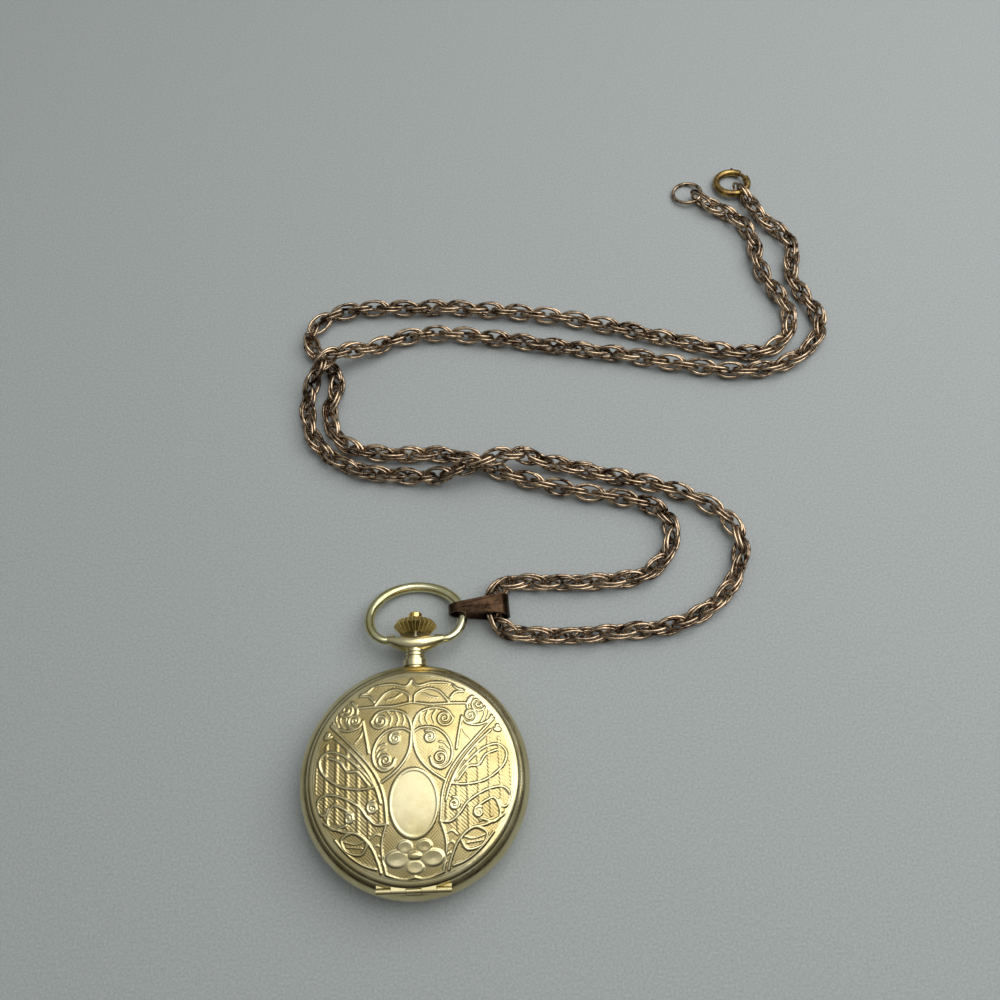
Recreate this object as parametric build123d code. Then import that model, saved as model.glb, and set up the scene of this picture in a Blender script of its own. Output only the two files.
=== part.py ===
from build123d import *
import math
import os

# A hunter-case pendant watch on a long double-link chain, in millimetres.
# The origin is the centre of the case back on the table, +Y runs to the crown
# and +Z out of the lid. The watch lies on its back.

# Case
case_diameter = 48.0
seam_inset = 2.0
case_back_height = 2.8
band_height = 6.6
lid_height = 3.55
cover_wall = 0.65
seam_gap = 0.05
back_flat_radius = 12.0
back_rim_height = 0.9
lid_rim_height = 0.5
lid_bevel_width = 1.4
lid_bevel_height = 0.95
spigot_wall = 0.5
spigot_depth = 0.8
shelf_width = 0.55
shelf_thickness = 0.3
pocket_depth = 1.35
pocket_height = 1.6
bezel_seat_depth = 0.5
bezel_stand = 0.5
bezel_width = 1.75
bezel_rebate_height = 0.7
crystal_edge = 0.55
crystal_rise = 0.85
crystal_hollow_share = 0.96
lid_gap = 0.2
fit_gap = 0.03

# Lid hinge
hinge_length = 15.0
hinge_knuckle_radius = 0.7
hinge_pin_radius = 0.35
hinge_knuckles = 5
hinge_outset = 0.15
hinge_drop = 0.15
hinge_gap = 0.1
hinge_web = 0.8

# Case springs
spring_strip = 0.22
spring_nib_width = 1.8
spring_slot_play = 0.2
catch_strip = 0.1
lift_angle = -60.0
catch_angle = 75.0

# Pendant, crown and stem
pendant_spigot_radius = 2.2
pendant_collar_radius = 2.7
pendant_collar_length = 1.4
pendant_neck_radius = 1.75
pendant_ring_radius = 2.2
pendant_ring_count = 3
pendant_ring_length = 0.8
pendant_bar_half = 6.2
pendant_bar_end_radius = 0.95
pendant_bar_middle_radius = 2.2
pendant_bore_radius = 1.3
sleeve_wall = 0.6
pivot_distance = 6.05
crown_standoff = 1.0
crown_travel = 0.4
saddle_clearance = 0.4
saddle_radius = 4.5
crown_height = 3.0
crown_foot_radius = 3.1
crown_radius = 4.85
crown_top_radius = 4.05
crown_waist_share = 0.62
crown_flutes = 26
crown_flute_depth = 0.35
crown_dome_height = 0.95
crown_button_radius = 1.5
crown_button_height = 2.1
stem_radius = 0.6

# Bow and bail
bow_half_width = 10.45
bow_shoulder_height = 5.9
bow_crest_height = 9.0
bow_wire_radius = 1.2
bow_end_radius = 0.85
bow_pin_radius = 0.6
bow_pin_length = 1.3
bow_clearance = 0.08
bail_grip_angle = 13.0
bail_sheet = 0.45
bail_tip_reach = 2.9
bail_mouth_reach = 11.0
bail_tip_radius = 2.4
bail_mouth_radius = 3.0
bail_tip_width = 1.7
bail_mouth_width = 5.2
bail_turn = 2.8
bail_dip = 2.2
bail_ribs = 3
bail_rib_width = 0.45
bail_rib_height = 0.18

# Chain
link_wire = 0.76
link_half_length = 2.65
link_half_width = 1.8
link_end_radius = 1.4
link_pair_offset = 0.42
link_pitch = 3.8
chain_height = 2.3
link_seat = 0.32
twist_ease = 8

# Jump ring and clasp
jump_ring_radius = 3.85
jump_ring_wire = 1.0
clasp_radius = 4.33
clasp_tube_radius = 0.97
clasp_bore_radius = 0.62
clasp_lever_radius = 0.52
clasp_gap_start = 18.0
clasp_gap = 30.0
clasp_lever_length = 108.0
clasp_nub_angle = 78.0
clasp_nub_radius = 0.3
clasp_nub_height = 0.7
clasp_spring_length = 45.0
clasp_turn = 4.0

# Movement
movement_ring_width = 2.32
drawn_plate_radius = 18.5
plate_thickness = 2.0
train_gap = 2.0
bridge_thickness = 1.2
bridge_margin = 0.3
bridge_split = 0.4
pillar_radius = 1.1
dial_thickness = 0.4
dial_overlap = 0.5
motion_recess = 0.8
arbor_radius = 0.3
pivot_radius = 0.12
jewel_radius = 0.7
jewel_thickness = 0.4
pivot_play = 0.03
wheel_thickness = 0.2
pinion_height = 0.45
drawn_barrel_module = 0.2
drawn_centre_module = 0.15
drawn_third_module = 0.14
drawn_fourth_module = 0.12
drawn_motion_module = 0.16
barrel_teeth = 72
centre_pinion_teeth = 12
centre_teeth = 80
third_teeth = 75
fourth_teeth = 80
train_pinion_teeth = 10
escape_pinion_teeth = 8
escape_teeth = 15
cannon_teeth = 12
minute_teeth = 36
minute_pinion_teeth = 10
hour_teeth = 40
barrel_angle = 134.5
barrel_height = 1.1
barrel_wall = 0.4
drawn_fourth_distance = 8.8
escape_angle = 202.0
drawn_escape_radius = 2.6
balance_angle = 142.0
drawn_balance_distance = 6.85
drawn_balance_radius = 5.2
balance_rim = 0.7
drawn_pallet_distance = 3.35
drawn_winding_module = 0.2
ratchet_teeth = 42
crown_wheel_teeth = 30
winding_wheel_thickness = 0.4
hand_thickness = 0.12
hand_step = 0.4
drawn_hour_hand_length = 10.0
drawn_minute_hand_length = 15.5
drawn_second_hand_length = 4.2
screw_head_radius = 0.9
screw_head_height = 0.4
screw_shank_radius = 0.42
case_screw_angles = (25.0, 205.0)
drawn_clutch_start = 12.2
clutch_length = 2.4
clutch_radius = 1.1
clutch_groove_radius = 0.85
clutch_groove_start = 0.9
clutch_groove_width = 0.5
winding_pinion_length = 2.2
winding_pinion_teeth = 14
winding_pinion_module = 0.15
drawn_stem_end = 9.2
stem_tip_share = 0.6
stem_tip_length = 1.4
minute_post_radius = 0.3
drawn_bridge_split = 1.6
click_post_radius = 0.35
click_reach = 1.5
click_angle = 170.0
click_tip_reach = 0.45
click_tip_angle = 186.0
click_boss_radius = 0.6
winding_gap = 0.1
balance_foot_angle = 125.0
balance_foot_reach = 2.1
balance_foot_radius = 1.35
cock_arm_width = 2.2
cock_boss_radius = 1.6
cock_thickness = 0.6
pallet_foot_angle = 242.0
pallet_foot_reach = 3.2
pallet_arm_width = 1.2

# The chain's route, chosen by hand: x, y and height of its centre line, before
# it is turned with the camera about the case centre. Both halves start in the
# bail, the first ends in the jump ring and the second in the clasp. The second
# half crosses over the first twice.
route_turn = -2.0
upper_points = [
    (16.2, 38.2, 3.05), (15.8, 41.6, 2.8), (17.6, 44.3, 2.3), (21.6, 45.2, 2.3),
    (26.1, 44.7, 2.3), (35.0, 44.8, 2.3), (43.8, 45.2, 2.3), (48.3, 45.7, 2.3),
    (52.4, 47.3, 2.3), (55.8, 50.2, 2.3), (58.3, 54.3, 2.3), (58.8, 58.8, 2.3),
    (56.6, 63.0, 2.3), (52.4, 65.6, 2.3), (44.9, 66.9, 2.3), (35.8, 68.4, 2.3),
    (26.5, 70.6, 2.3), (21.9, 72.1, 2.3), (17.3, 73.7, 2.3), (13.2, 75.4, 2.3),
    (8.5, 77.4, 2.3), (2.1, 78.5, 2.3), (-4.2, 78.0, 2.3), (-10.6, 78.4, 2.3),
    (-16.5, 78.8, 2.3), (-21.2, 81.2, 2.3), (-24.4, 85.8, 2.3), (-25.2, 91.0, 2.3),
    (-23.4, 96.4, 2.3), (-23.6, 100.9, 2.3), (-27.2, 104.6, 2.3), (-30.8, 108.4, 2.3),
    (-31.9, 113.0, 2.3), (-29.2, 117.6, 2.3), (-23.9, 120.4, 2.3), (-17.0, 121.7, 2.3),
    (-8.0, 121.5, 2.3), (2.0, 121.9, 2.3), (12.0, 121.3, 2.3), (24.5, 120.2, 2.3),
    (36.5, 118.4, 2.3), (48.4, 115.5, 2.3), (60.2, 112.3, 2.3), (70.0, 109.8, 2.3),
    (77.6, 107.6, 2.3), (84.3, 107.6, 2.3), (90.0, 110.2, 2.3), (93.4, 114.8, 2.3),
    (94.0, 119.8, 2.3), (91.8, 125.7, 2.3), (88.6, 131.7, 2.3), (86.8, 137.3, 2.3),
    (87.2, 142.5, 2.3), (86.1, 147.4, 2.3), (83.3, 151.5, 2.3), (79.2, 154.4, 2.3),
    (75.6, 156.6, 2.3), (72.5, 159.5, 2.3),
]
lower_points = [
    (16.2, 38.2, 3.05), (16.3, 35.2, 2.8), (18.8, 33.0, 2.3), (23.8, 32.4, 2.3),
    (30.0, 31.8, 2.3), (36.7, 32.2, 2.3), (45.4, 33.0, 2.3), (53.8, 33.8, 2.3),
    (59.2, 35.0, 2.3), (63.5, 37.3, 2.3), (67.9, 40.3, 2.3), (71.5, 44.5, 2.3),
    (73.9, 49.9, 2.3), (74.7, 55.3, 2.3), (73.0, 60.3, 2.3), (68.4, 64.7, 2.3),
    (60.4, 68.6, 2.3), (54.0, 70.4, 2.3), (46.5, 72.0, 2.3), (37.3, 74.1, 2.3),
    (28.7, 75.9, 2.9), (23.5, 76.6, 5.6), (18.7, 75.9, 6.9), (14.0, 74.5, 6.9),
    (9.0, 72.9, 5.8), (3.8, 71.8, 3.2), (-4.0, 72.1, 2.3), (-12.4, 72.8, 2.3),
    (-18.5, 74.3, 2.3), (-24.6, 77.8, 2.3), (-28.8, 82.6, 2.3), (-30.5, 88.5, 2.3),
    (-30.4, 94.5, 2.6), (-28.8, 100.2, 5.6), (-25.6, 104.1, 6.9), (-20.8, 106.0, 6.2),
    (-15.6, 108.2, 3.3), (-9.6, 111.6, 2.3), (-3.3, 113.5, 2.3), (4.0, 113.7, 2.3),
    (14.0, 112.6, 2.3), (24.4, 110.9, 2.3), (36.2, 109.0, 2.3), (48.0, 107.5, 2.3),
    (59.7, 105.2, 2.3), (71.3, 103.1, 2.3), (80.0, 102.1, 2.3), (87.5, 103.2, 2.3),
    (94.2, 106.2, 2.3), (99.2, 110.9, 2.3), (101.6, 116.4, 2.3), (100.8, 121.8, 2.3),
    (96.8, 127.8, 2.3), (95.2, 133.2, 2.3), (96.8, 138.2, 2.3), (97.4, 143.2, 2.3),
    (94.2, 147.6, 2.3), (90.2, 151.2, 2.3), (88.0, 155.6, 2.3), (86.6, 159.2, 2.3),
    (84.7, 162.3, 2.3),
]

# Heights and radii worked out from the driving sizes
overrun = 0.5
case_radius = case_diameter / 2
seam_radius = case_radius - seam_inset
band_low = case_back_height
band_high = band_low + band_height
pendant_z = (band_low + band_high) / 2
lid_low = band_high + seam_gap
lid_high = band_high + lid_height
spigot_radius = seam_radius - cover_wall - fit_gap
bore_radius = spigot_radius - spigot_wall
bezel_radius = seam_radius - cover_wall - lid_gap
bezel_seat_z = band_high - bezel_seat_depth
pocket_radius = bore_radius + pocket_depth
plate_radius = bore_radius - movement_ring_width
plate_scale = plate_radius / drawn_plate_radius
barrel_module = drawn_barrel_module * plate_scale
centre_module = drawn_centre_module * plate_scale
third_module = drawn_third_module * plate_scale
fourth_module = drawn_fourth_module * plate_scale
motion_module = drawn_motion_module * plate_scale
fourth_distance = drawn_fourth_distance * plate_scale
escape_radius = drawn_escape_radius * plate_scale
balance_distance = drawn_balance_distance * plate_scale
balance_radius = drawn_balance_radius * plate_scale
pallet_distance = drawn_pallet_distance * plate_scale
winding_module = drawn_winding_module * plate_scale
hour_hand_length = drawn_hour_hand_length * plate_scale
minute_hand_length = drawn_minute_hand_length * plate_scale
second_hand_length = drawn_second_hand_length * plate_scale
clutch_start = drawn_clutch_start * plate_scale
stem_end = drawn_stem_end * plate_scale
bridge_split_y = drawn_bridge_split * plate_scale
case_screw_radius = plate_radius + fit_gap / 2
plate_low = pendant_z - plate_thickness * 0.4
plate_high = plate_low + plate_thickness
shelf_radius = bore_radius - shelf_width
bridge_high = plate_low - train_gap
bridge_low = bridge_high - bridge_thickness
dial_high = plate_high + dial_thickness
hinge_y = -(seam_radius + hinge_outset)
hinge_z = lid_low - hinge_drop
pivot_y = case_radius + pivot_distance
ON_FLOOR = (Align.CENTER, Align.CENTER, Align.MIN)


def laid(points):
    """The route's points turned about the case centre."""
    turn = math.radians(route_turn)
    return [
        (x * math.cos(turn) - y * math.sin(turn), x * math.sin(turn) + y * math.cos(turn), z)
        for x, y, z in points]


upper_route = laid(upper_points)
lower_route = laid(lower_points)


def drum(radius, low, high, x=0, y=0, bore=0):
    body = Pos(x, y, low) * Cylinder(radius, high - low, align=ON_FLOOR)
    if bore > 0:
        hole = Pos(x, y, low - overrun) * Cylinder(bore, high - low + 2 * overrun, align=ON_FLOOR)
        body = body - hole
    return body


def box_between(low_corner, high_corner):
    sizes = [high - low for low, high in zip(low_corner, high_corner)]
    return Pos(*low_corner) * Box(*sizes, align=(Align.MIN, Align.MIN, Align.MIN))


def turned(edges, axis=Axis.Z, plane=Plane.XZ):
    return revolve(plane * make_face(edges), axis)


def along_y(radius, start, end, z=None, x=0):
    height = pendant_z if z is None else z
    return Pos(x, start, height) * Rot(-90, 0, 0) * Cylinder(radius, end - start, align=ON_FLOOR)


def along_x(radius, start, end, y, z):
    return Pos(start, y, z) * Rot(0, 90, 0) * Cylinder(radius, end - start, align=ON_FLOOR)


def polar(radius, degrees, centre=(0, 0)):
    angle = math.radians(degrees)
    return (centre[0] + radius * math.cos(angle), centre[1] + radius * math.sin(angle))


def toothed(teeth, module, low, high, x=0, y=0, first_tooth=0, share=0.4):
    """A wheel cut with straight-sided teeth, one of them pointing at first_tooth."""
    pitch_radius = teeth * module / 2
    root = pitch_radius - 1.2 * module
    tip = pitch_radius + 0.9 * module
    step = 360 / teeth
    points = []
    for tooth in range(teeth):
        middle = first_tooth + tooth * step
        points.append(polar(root, middle - step * share * 0.7))
        points.append(polar(tip, middle - step * share * 0.3))
        points.append(polar(tip, middle + step * share * 0.3))
        points.append(polar(root, middle + step * share * 0.7))
    blank = extrude(make_face(Polyline(*points, close=True)), high - low)
    return Pos(x, y, low) * blank


def cap_point(edge_radius, edge_z, top_z):
    """A point half-way out on the round cap whose rim and top are given."""
    rise = top_z - edge_z
    ball = (edge_radius ** 2 + rise ** 2) / (2 * rise)
    return (edge_radius / 2, top_z - ball + math.sqrt(ball ** 2 - (edge_radius / 2) ** 2))


def spoked(wheel, radius, spokes, low, high, x, y, rim=0.5, hub=0.9, spoke=0.45):
    """Cuts the windows between the spokes of a wheel."""
    for number in range(spokes):
        start = number * 360 / spokes
        ring = drum(radius - rim, low - overrun, high + overrun, x, y, bore=hub)
        wedge = Pos(x, y, 0) * Rot(0, 0, start) * Pos(spoke, spoke, low - overrun) * Box(
            radius, radius, high - low + 2 * overrun, align=(Align.MIN, Align.MIN, Align.MIN))
        wheel = wheel - (ring & wedge)
    return wheel


def screw(x, y, head_low, up_to):
    """A cheese-head screw driven upwards, its head at the bottom."""
    head = drum(screw_head_radius, head_low, head_low + screw_head_height, x, y)
    shank = drum(screw_shank_radius, head_low, up_to, x, y)
    slot = Pos(x, y, head_low) * Box(
        2 * screw_head_radius, screw_head_height * 0.5, screw_head_height * 0.8)
    return (head + shank) - slot


def arbor(x, y, low=None, high=None):
    """A wheel's arbor between bridge and plate, with a pivot at each end."""
    bottom = bridge_high + pivot_play if low is None else low
    top = plate_low - pivot_play if high is None else high
    shaft = drum(arbor_radius, bottom, top, x, y)
    return shaft + drum(pivot_radius, bottom - jewel_thickness, top + jewel_thickness, x, y)


# Places of the movement's arbors
barrel_distance = barrel_module * (barrel_teeth + centre_pinion_teeth) / 2
barrel_at = polar(barrel_distance, barrel_angle)
third_reach = centre_module * (centre_teeth + train_pinion_teeth) / 2
fourth_reach = third_module * (third_teeth + train_pinion_teeth) / 2
escape_reach = fourth_module * (fourth_teeth + escape_pinion_teeth) / 2
fourth_at = (0.0, -fourth_distance)
third_y = -(third_reach ** 2 - fourth_reach ** 2 + fourth_distance ** 2) / (2 * fourth_distance)
third_at = (math.sqrt(third_reach ** 2 - third_y ** 2), third_y)
escape_at = polar(escape_reach, escape_angle, fourth_at)
balance_at = polar(balance_distance, balance_angle, escape_at)
pallet_at = polar(pallet_distance, balance_angle, escape_at)
motion_reach = motion_module * (cannon_teeth + minute_teeth) / 2
hour_module = 2 * motion_reach / (minute_pinion_teeth + hour_teeth)
minute_at = polar(motion_reach, 60)
winding_reach = winding_module * (ratchet_teeth + crown_wheel_teeth) / 2
crown_wheel_at = (0.0, barrel_at[1] + math.sqrt(winding_reach ** 2 - barrel_at[0] ** 2))
click_at = polar(ratchet_teeth * winding_module / 2 + click_reach, click_angle, barrel_at)
winding_low = bridge_low - winding_wheel_thickness - winding_gap


def towards(start, end):
    return math.degrees(math.atan2(end[1] - start[1], end[0] - start[0]))


# Levels in the train, counted from the bridge
barrel_low = bridge_high + 0.15
barrel_rim_high = barrel_low + 0.4
fourth_low = bridge_high + 0.35
third_low = barrel_rim_high + 0.4
centre_low = barrel_low + barrel_height + 0.2
escape_low = third_low + 0.1


def save(name, *shapes):
    solids = []
    for shape in shapes:
        solids.extend(shape.solids())
    body = solids[0] if len(solids) == 1 else Compound(children=solids)
    export_step(body, f"parts/{name}.step")


# Hinge knuckles and the cuts that clear them
def hinge_spans():
    step = hinge_length / hinge_knuckles
    spans = []
    for number in range(hinge_knuckles):
        start = -hinge_length / 2 + number * step
        spans.append((start + hinge_gap / 2, start + step - hinge_gap / 2, number % 2 == 0))
    return spans


def knuckle(start, end):
    body = along_x(hinge_knuckle_radius, start, end, hinge_y, hinge_z)
    return body - along_x(hinge_pin_radius + fit_gap, start - overrun, end + overrun, hinge_y, hinge_z)


def knuckle_room(start, end):
    return along_x(
        hinge_knuckle_radius + hinge_gap, start - hinge_gap / 2, end + hinge_gap / 2, hinge_y, hinge_z)


pin_room = along_x(
    hinge_pin_radius + fit_gap, -hinge_length / 2 - overrun, hinge_length / 2 + overrun, hinge_y, hinge_z)


def at_rim(angle, low_r, high_r, low_z, high_z, width):
    block = Pos(low_r, 0, low_z) * Box(
        high_r - low_r, width, high_z - low_z, align=(Align.MIN, Align.CENTER, Align.MIN))
    return Rot(0, 0, angle) * block


def make_case_band():
    corner_low = (seam_radius, band_low)
    corner_high = (seam_radius, band_high)
    outside = ThreePointArc(corner_low, (case_radius, pendant_z), corner_high)
    inside = Polyline(
        corner_high, (bezel_radius, band_high), (bezel_radius, bezel_seat_z),
        (bore_radius, bezel_seat_z), (bore_radius, plate_low), (shelf_radius, plate_low),
        (shelf_radius, plate_low - shelf_thickness), (pocket_radius, plate_low - shelf_thickness),
        (pocket_radius, plate_low - shelf_thickness - pocket_height),
        (bore_radius, plate_low - shelf_thickness - pocket_height),
        (bore_radius, band_low - spigot_depth), (spigot_radius, band_low - spigot_depth),
        (spigot_radius, band_low), corner_low)
    band = turned(outside + inside)
    for start, end, on_case in hinge_spans():
        if on_case:
            foot = box_between(
                (start, hinge_y, hinge_z - 2 * hinge_web), (end, hinge_y + 2 * hinge_outset + 1.2, hinge_z - seam_gap))
            foot = foot & drum(case_radius, band_low, band_high)
            foot = foot - drum(bezel_radius + lid_gap / 2, band_low, lid_high)
            band = band + foot + along_x(hinge_knuckle_radius, start, end, hinge_y, hinge_z)
        else:
            band = band - knuckle_room(start, end)
    band = band - pin_room
    slot_low = plate_low - shelf_thickness - overrun
    for angle in (lift_angle, catch_angle):
        band = band - at_rim(
            angle, bezel_radius - overrun, pocket_radius - fit_gap, slot_low, band_high + overrun,
            spring_nib_width + spring_slot_play)
    band = band - along_y(pendant_spigot_radius, bore_radius - 2 * overrun, case_radius + overrun)
    return band - along_y(pendant_collar_radius + fit_gap, collar_start, case_radius + overrun)


def make_front_lid():
    rim_top = lid_low + lid_rim_height
    bevel_top = rim_top + lid_bevel_height
    dome_radius = seam_radius - lid_bevel_width
    inner_rim = seam_radius - cover_wall
    inner_dome = dome_radius - cover_wall * 0.6
    bevel_middle = (seam_radius - lid_bevel_width * 0.32, rim_top + lid_bevel_height * 0.6)
    inner_bevel = (inner_rim - lid_bevel_width * 0.3, rim_top + lid_bevel_height * 0.25)
    inner_top = lid_high - cover_wall
    inner_edge_z = bevel_top - cover_wall
    outer_half = cap_point(dome_radius, bevel_top, lid_high)
    inner_half = cap_point(inner_dome, inner_edge_z, inner_top)
    outline = Line((seam_radius, lid_low), (seam_radius, rim_top))
    outline += ThreePointArc((seam_radius, rim_top), bevel_middle, (dome_radius, bevel_top))
    outline += ThreePointArc((dome_radius, bevel_top), outer_half, (0, lid_high))
    outline += Line((0, lid_high), (0, inner_top))
    outline += ThreePointArc((0, inner_top), inner_half, (inner_dome, inner_edge_z))
    outline += ThreePointArc((inner_dome, inner_edge_z), inner_bevel, (inner_rim, lid_low + fit_gap))
    outline += Polyline((inner_rim, lid_low + fit_gap), (inner_rim, lid_low), (seam_radius, lid_low))
    lid = turned(outline)
    for start, end, on_case in hinge_spans():
        if on_case:
            lid = lid - knuckle_room(start, end)
        else:
            web = box_between(
                (start, hinge_y, lid_low), (end, hinge_y + 2 * hinge_outset + 1.2, lid_low + hinge_web))
            web = web - drum(inner_rim, lid_low - overrun, lid_high)
            lid = lid + web + along_x(hinge_knuckle_radius, start, end, hinge_y, hinge_z)
    return lid - pin_room


def make_back_cover():
    rim_low = back_rim_height
    depth = cover_wall
    inner_rim = seam_radius - cover_wall
    rise_half = (back_flat_radius + (seam_radius - back_flat_radius) * 0.55, rim_low * 0.28)
    inner_half = (rise_half[0] - depth * 0.1, rise_half[1] + depth)
    top = band_low - seam_gap
    outline = Line((0, 0), (back_flat_radius, 0))
    outline += ThreePointArc((back_flat_radius, 0), rise_half, (seam_radius, rim_low))
    outline += Polyline((seam_radius, rim_low), (seam_radius, top), (inner_rim, top), (inner_rim, rim_low + depth))
    outline += ThreePointArc((inner_rim, rim_low + depth), inner_half, (back_flat_radius, depth))
    outline += Polyline((back_flat_radius, depth), (0, depth), (0, 0))
    return turned(outline)


def make_bezel_ring():
    top = band_high + bezel_stand
    skirt_low = dial_high + fit_gap
    inner = bezel_radius - bezel_width
    rebate = top - bezel_rebate_height
    groove = inner + bezel_width * 0.4
    ledge = bore_radius - fit_gap
    return turned(Polyline(
        (inner, skirt_low), (ledge, skirt_low), (ledge, bezel_seat_z), (bezel_radius - fit_gap, bezel_seat_z),
        (bezel_radius - fit_gap, top), (groove, top), (groove, rebate), (inner, rebate), close=True))


def make_crystal():
    low = band_high + bezel_stand - bezel_rebate_height
    edge = bezel_radius - bezel_width * 0.6 - fit_gap
    top = low + crystal_edge
    outline = Line((edge, low), (edge, top))
    outline += ThreePointArc((edge, top), cap_point(edge, top, top + crystal_rise), (0, top + crystal_rise))
    outline += Line((0, top + crystal_rise), (0, low + crystal_rise))
    hollow = edge * crystal_hollow_share
    outline += ThreePointArc(
        (0, low + crystal_rise), cap_point(hollow, low, low + crystal_rise), (hollow, low))
    outline += Line((hollow, low), (edge, low))
    return turned(outline)


def make_case_spring(angle_from, angle_to, nib_angle, strip, nib_inner, nib_top):
    low = plate_low - shelf_thickness - pocket_height + fit_gap
    high = plate_low - shelf_thickness - fit_gap
    outer = pocket_radius - fit_gap
    ring = drum(outer, low, high, bore=outer - strip)
    reach = case_radius * 2
    wedge_points = [(0, 0)]
    for share in (0.0, 0.25, 0.5, 0.75, 1.0):
        wedge_points.append(polar(reach, angle_from + share * (angle_to - angle_from)))
    wedge = Pos(0, 0, low - overrun) * extrude(
        make_face(Polyline(*wedge_points, close=True)), high - low + 2 * overrun)
    band = ring & wedge
    arm = at_rim(nib_angle, nib_inner, outer - strip / 2, low, high, spring_nib_width)
    nib = at_rim(nib_angle, nib_inner, nib_inner + strip, low, nib_top, spring_nib_width)
    return band + arm + nib


# Pendant, crown, stem and bow
collar_start = case_radius - 0.25
collar_end = collar_start + pendant_collar_length
neck_end = collar_end + pendant_ring_count * pendant_ring_length
crown_foot_y = pivot_y + crown_standoff


def make_pendant():
    body = along_y(pendant_spigot_radius, bore_radius + fit_gap, collar_start)
    body += along_y(pendant_collar_radius, collar_start, collar_end)
    body += along_y(pendant_neck_radius, collar_end, pivot_y)
    for number in range(pendant_ring_count):
        start = collar_end + number * pendant_ring_length
        body += along_y(
            pendant_ring_radius, start + pendant_ring_length * 0.25, start + pendant_ring_length * 0.8)
    sections = []
    for share in (-1.0, -0.45, 0.0, 0.45, 1.0):
        fullness = math.cos(math.radians(90 * abs(share)))
        radius = pendant_bar_end_radius + (pendant_bar_middle_radius - pendant_bar_end_radius) * fullness
        centre_y = pivot_y - (radius - pendant_bar_end_radius) * 0.8
        place = Plane(origin=(share * pendant_bar_half, centre_y, pendant_z), x_dir=(0, 1, 0), z_dir=(1, 0, 0))
        sections.append(place * Circle(radius))
    body += loft(sections)
    saddle_floor = crown_foot_y - crown_travel - saddle_clearance
    body -= along_y(saddle_radius, saddle_floor, crown_foot_y + crown_height)
    body -= along_y(pendant_bore_radius, bore_radius - overrun, crown_foot_y + overrun)
    for side in (-1, 1):
        ear = along_x(
            bow_pin_radius + bow_clearance, pendant_bar_half - bow_pin_length - bow_clearance,
            pendant_bar_half + overrun, pivot_y, pendant_z)
        body -= ear if side > 0 else mirror(ear, about=Plane.YZ)
    return body


def lobed_wire(radius, y):
    step = 360 / crown_flutes
    arcs = []
    for number in range(crown_flutes):
        start = polar(radius - crown_flute_depth, number * step)
        crest = polar(radius, (number + 0.5) * step)
        end = polar(radius - crown_flute_depth, (number + 1) * step)
        arcs.append(ThreePointArc(start, crest, end))
    place = Plane(origin=(0, y, pendant_z), x_dir=(1, 0, 0), z_dir=(0, 1, 0))
    return place * make_face(arcs)


def make_crown():
    waist = crown_foot_y + crown_height * crown_waist_share
    rim = crown_foot_y + crown_height
    body = loft([lobed_wire(crown_foot_radius, crown_foot_y), lobed_wire(crown_radius, waist)], ruled=True)
    body += loft([lobed_wire(crown_radius, waist), lobed_wire(crown_top_radius, rim)], ruled=True)
    dome_top = rim + crown_dome_height
    dome = Line((0, rim - crown_flute_depth), (crown_top_radius - crown_flute_depth, rim - crown_flute_depth))
    dome += Line(
        (crown_top_radius - crown_flute_depth, rim - crown_flute_depth),
        (crown_top_radius - crown_flute_depth, rim))
    dome += ThreePointArc(
        (crown_top_radius - crown_flute_depth, rim),
        (crown_top_radius * 0.62, rim + crown_dome_height * 0.66), (crown_button_radius, dome_top))
    dome += Polyline((crown_button_radius, dome_top), (0, dome_top), (0, rim - crown_flute_depth))
    body += Pos(0, 0, pendant_z) * turned(dome, axis=Axis.Y, plane=Plane.XY)
    button_end = rim + crown_button_height
    button = along_y(crown_button_radius, rim, button_end)
    button = chamfer(button.edges().sort_by(Axis.Y)[-1:], crown_button_radius * 0.2)
    body += button
    return body - along_y(stem_radius + fit_gap, crown_foot_y - overrun, rim - crown_flute_depth)


def bow_point(angle):
    """A point of the bow's centre line and its tangent, in the bow's own plane."""
    turn = math.radians(angle)
    if angle >= 0:
        point = (bow_half_width * math.cos(turn), bow_shoulder_height + bow_crest_height * math.sin(turn))
        tangent = (-bow_half_width * math.sin(turn), bow_crest_height * math.cos(turn))
    else:
        inset = bow_half_width - pendant_bar_half - bow_clearance
        point = (
            pendant_bar_half + bow_clearance + inset * math.cos(turn),
            bow_shoulder_height + bow_shoulder_height * math.sin(turn))
        tangent = (-inset * math.sin(turn), bow_shoulder_height * math.cos(turn))
    return point, tangent


bow_height = bow_shoulder_height + bow_crest_height
bow_droop = math.degrees(math.asin((pendant_z - bow_wire_radius) / bow_height))


def bow_plane():
    lean = math.radians(bow_droop)
    return Plane(
        origin=(0, pivot_y, pendant_z), x_dir=(1, 0, 0), z_dir=(0, math.sin(lean), math.cos(lean)))


def bow_radius_at(angle):
    left = 1 - (angle + 90) / 180
    return bow_wire_radius - (bow_wire_radius - bow_end_radius) * left ** 3


def make_bow():
    sections = []
    angles = (-90, -60, -30, 0, 30, 60, 90)
    for angle in angles:
        point, tangent = bow_point(angle)
        section = Plane(origin=(point[0], point[1], 0), x_dir=(0, 0, 1), z_dir=(tangent[0], tangent[1], 0))
        sections.append(section * Circle(bow_radius_at(angle)))
    for angle in reversed(angles[:-1]):
        point, tangent = bow_point(angle)
        section = Plane(origin=(-point[0], point[1], 0), x_dir=(0, 0, 1), z_dir=(tangent[0], -tangent[1], 0))
        sections.append(section * Circle(bow_radius_at(angle)))
    pin = along_x(
        bow_pin_radius, pendant_bar_half - bow_pin_length, pendant_bar_half + bow_clearance + bow_pin_radius, 0, 0)
    return bow_plane() * (loft(sections) + pin + mirror(pin, about=Plane.YZ))


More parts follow.
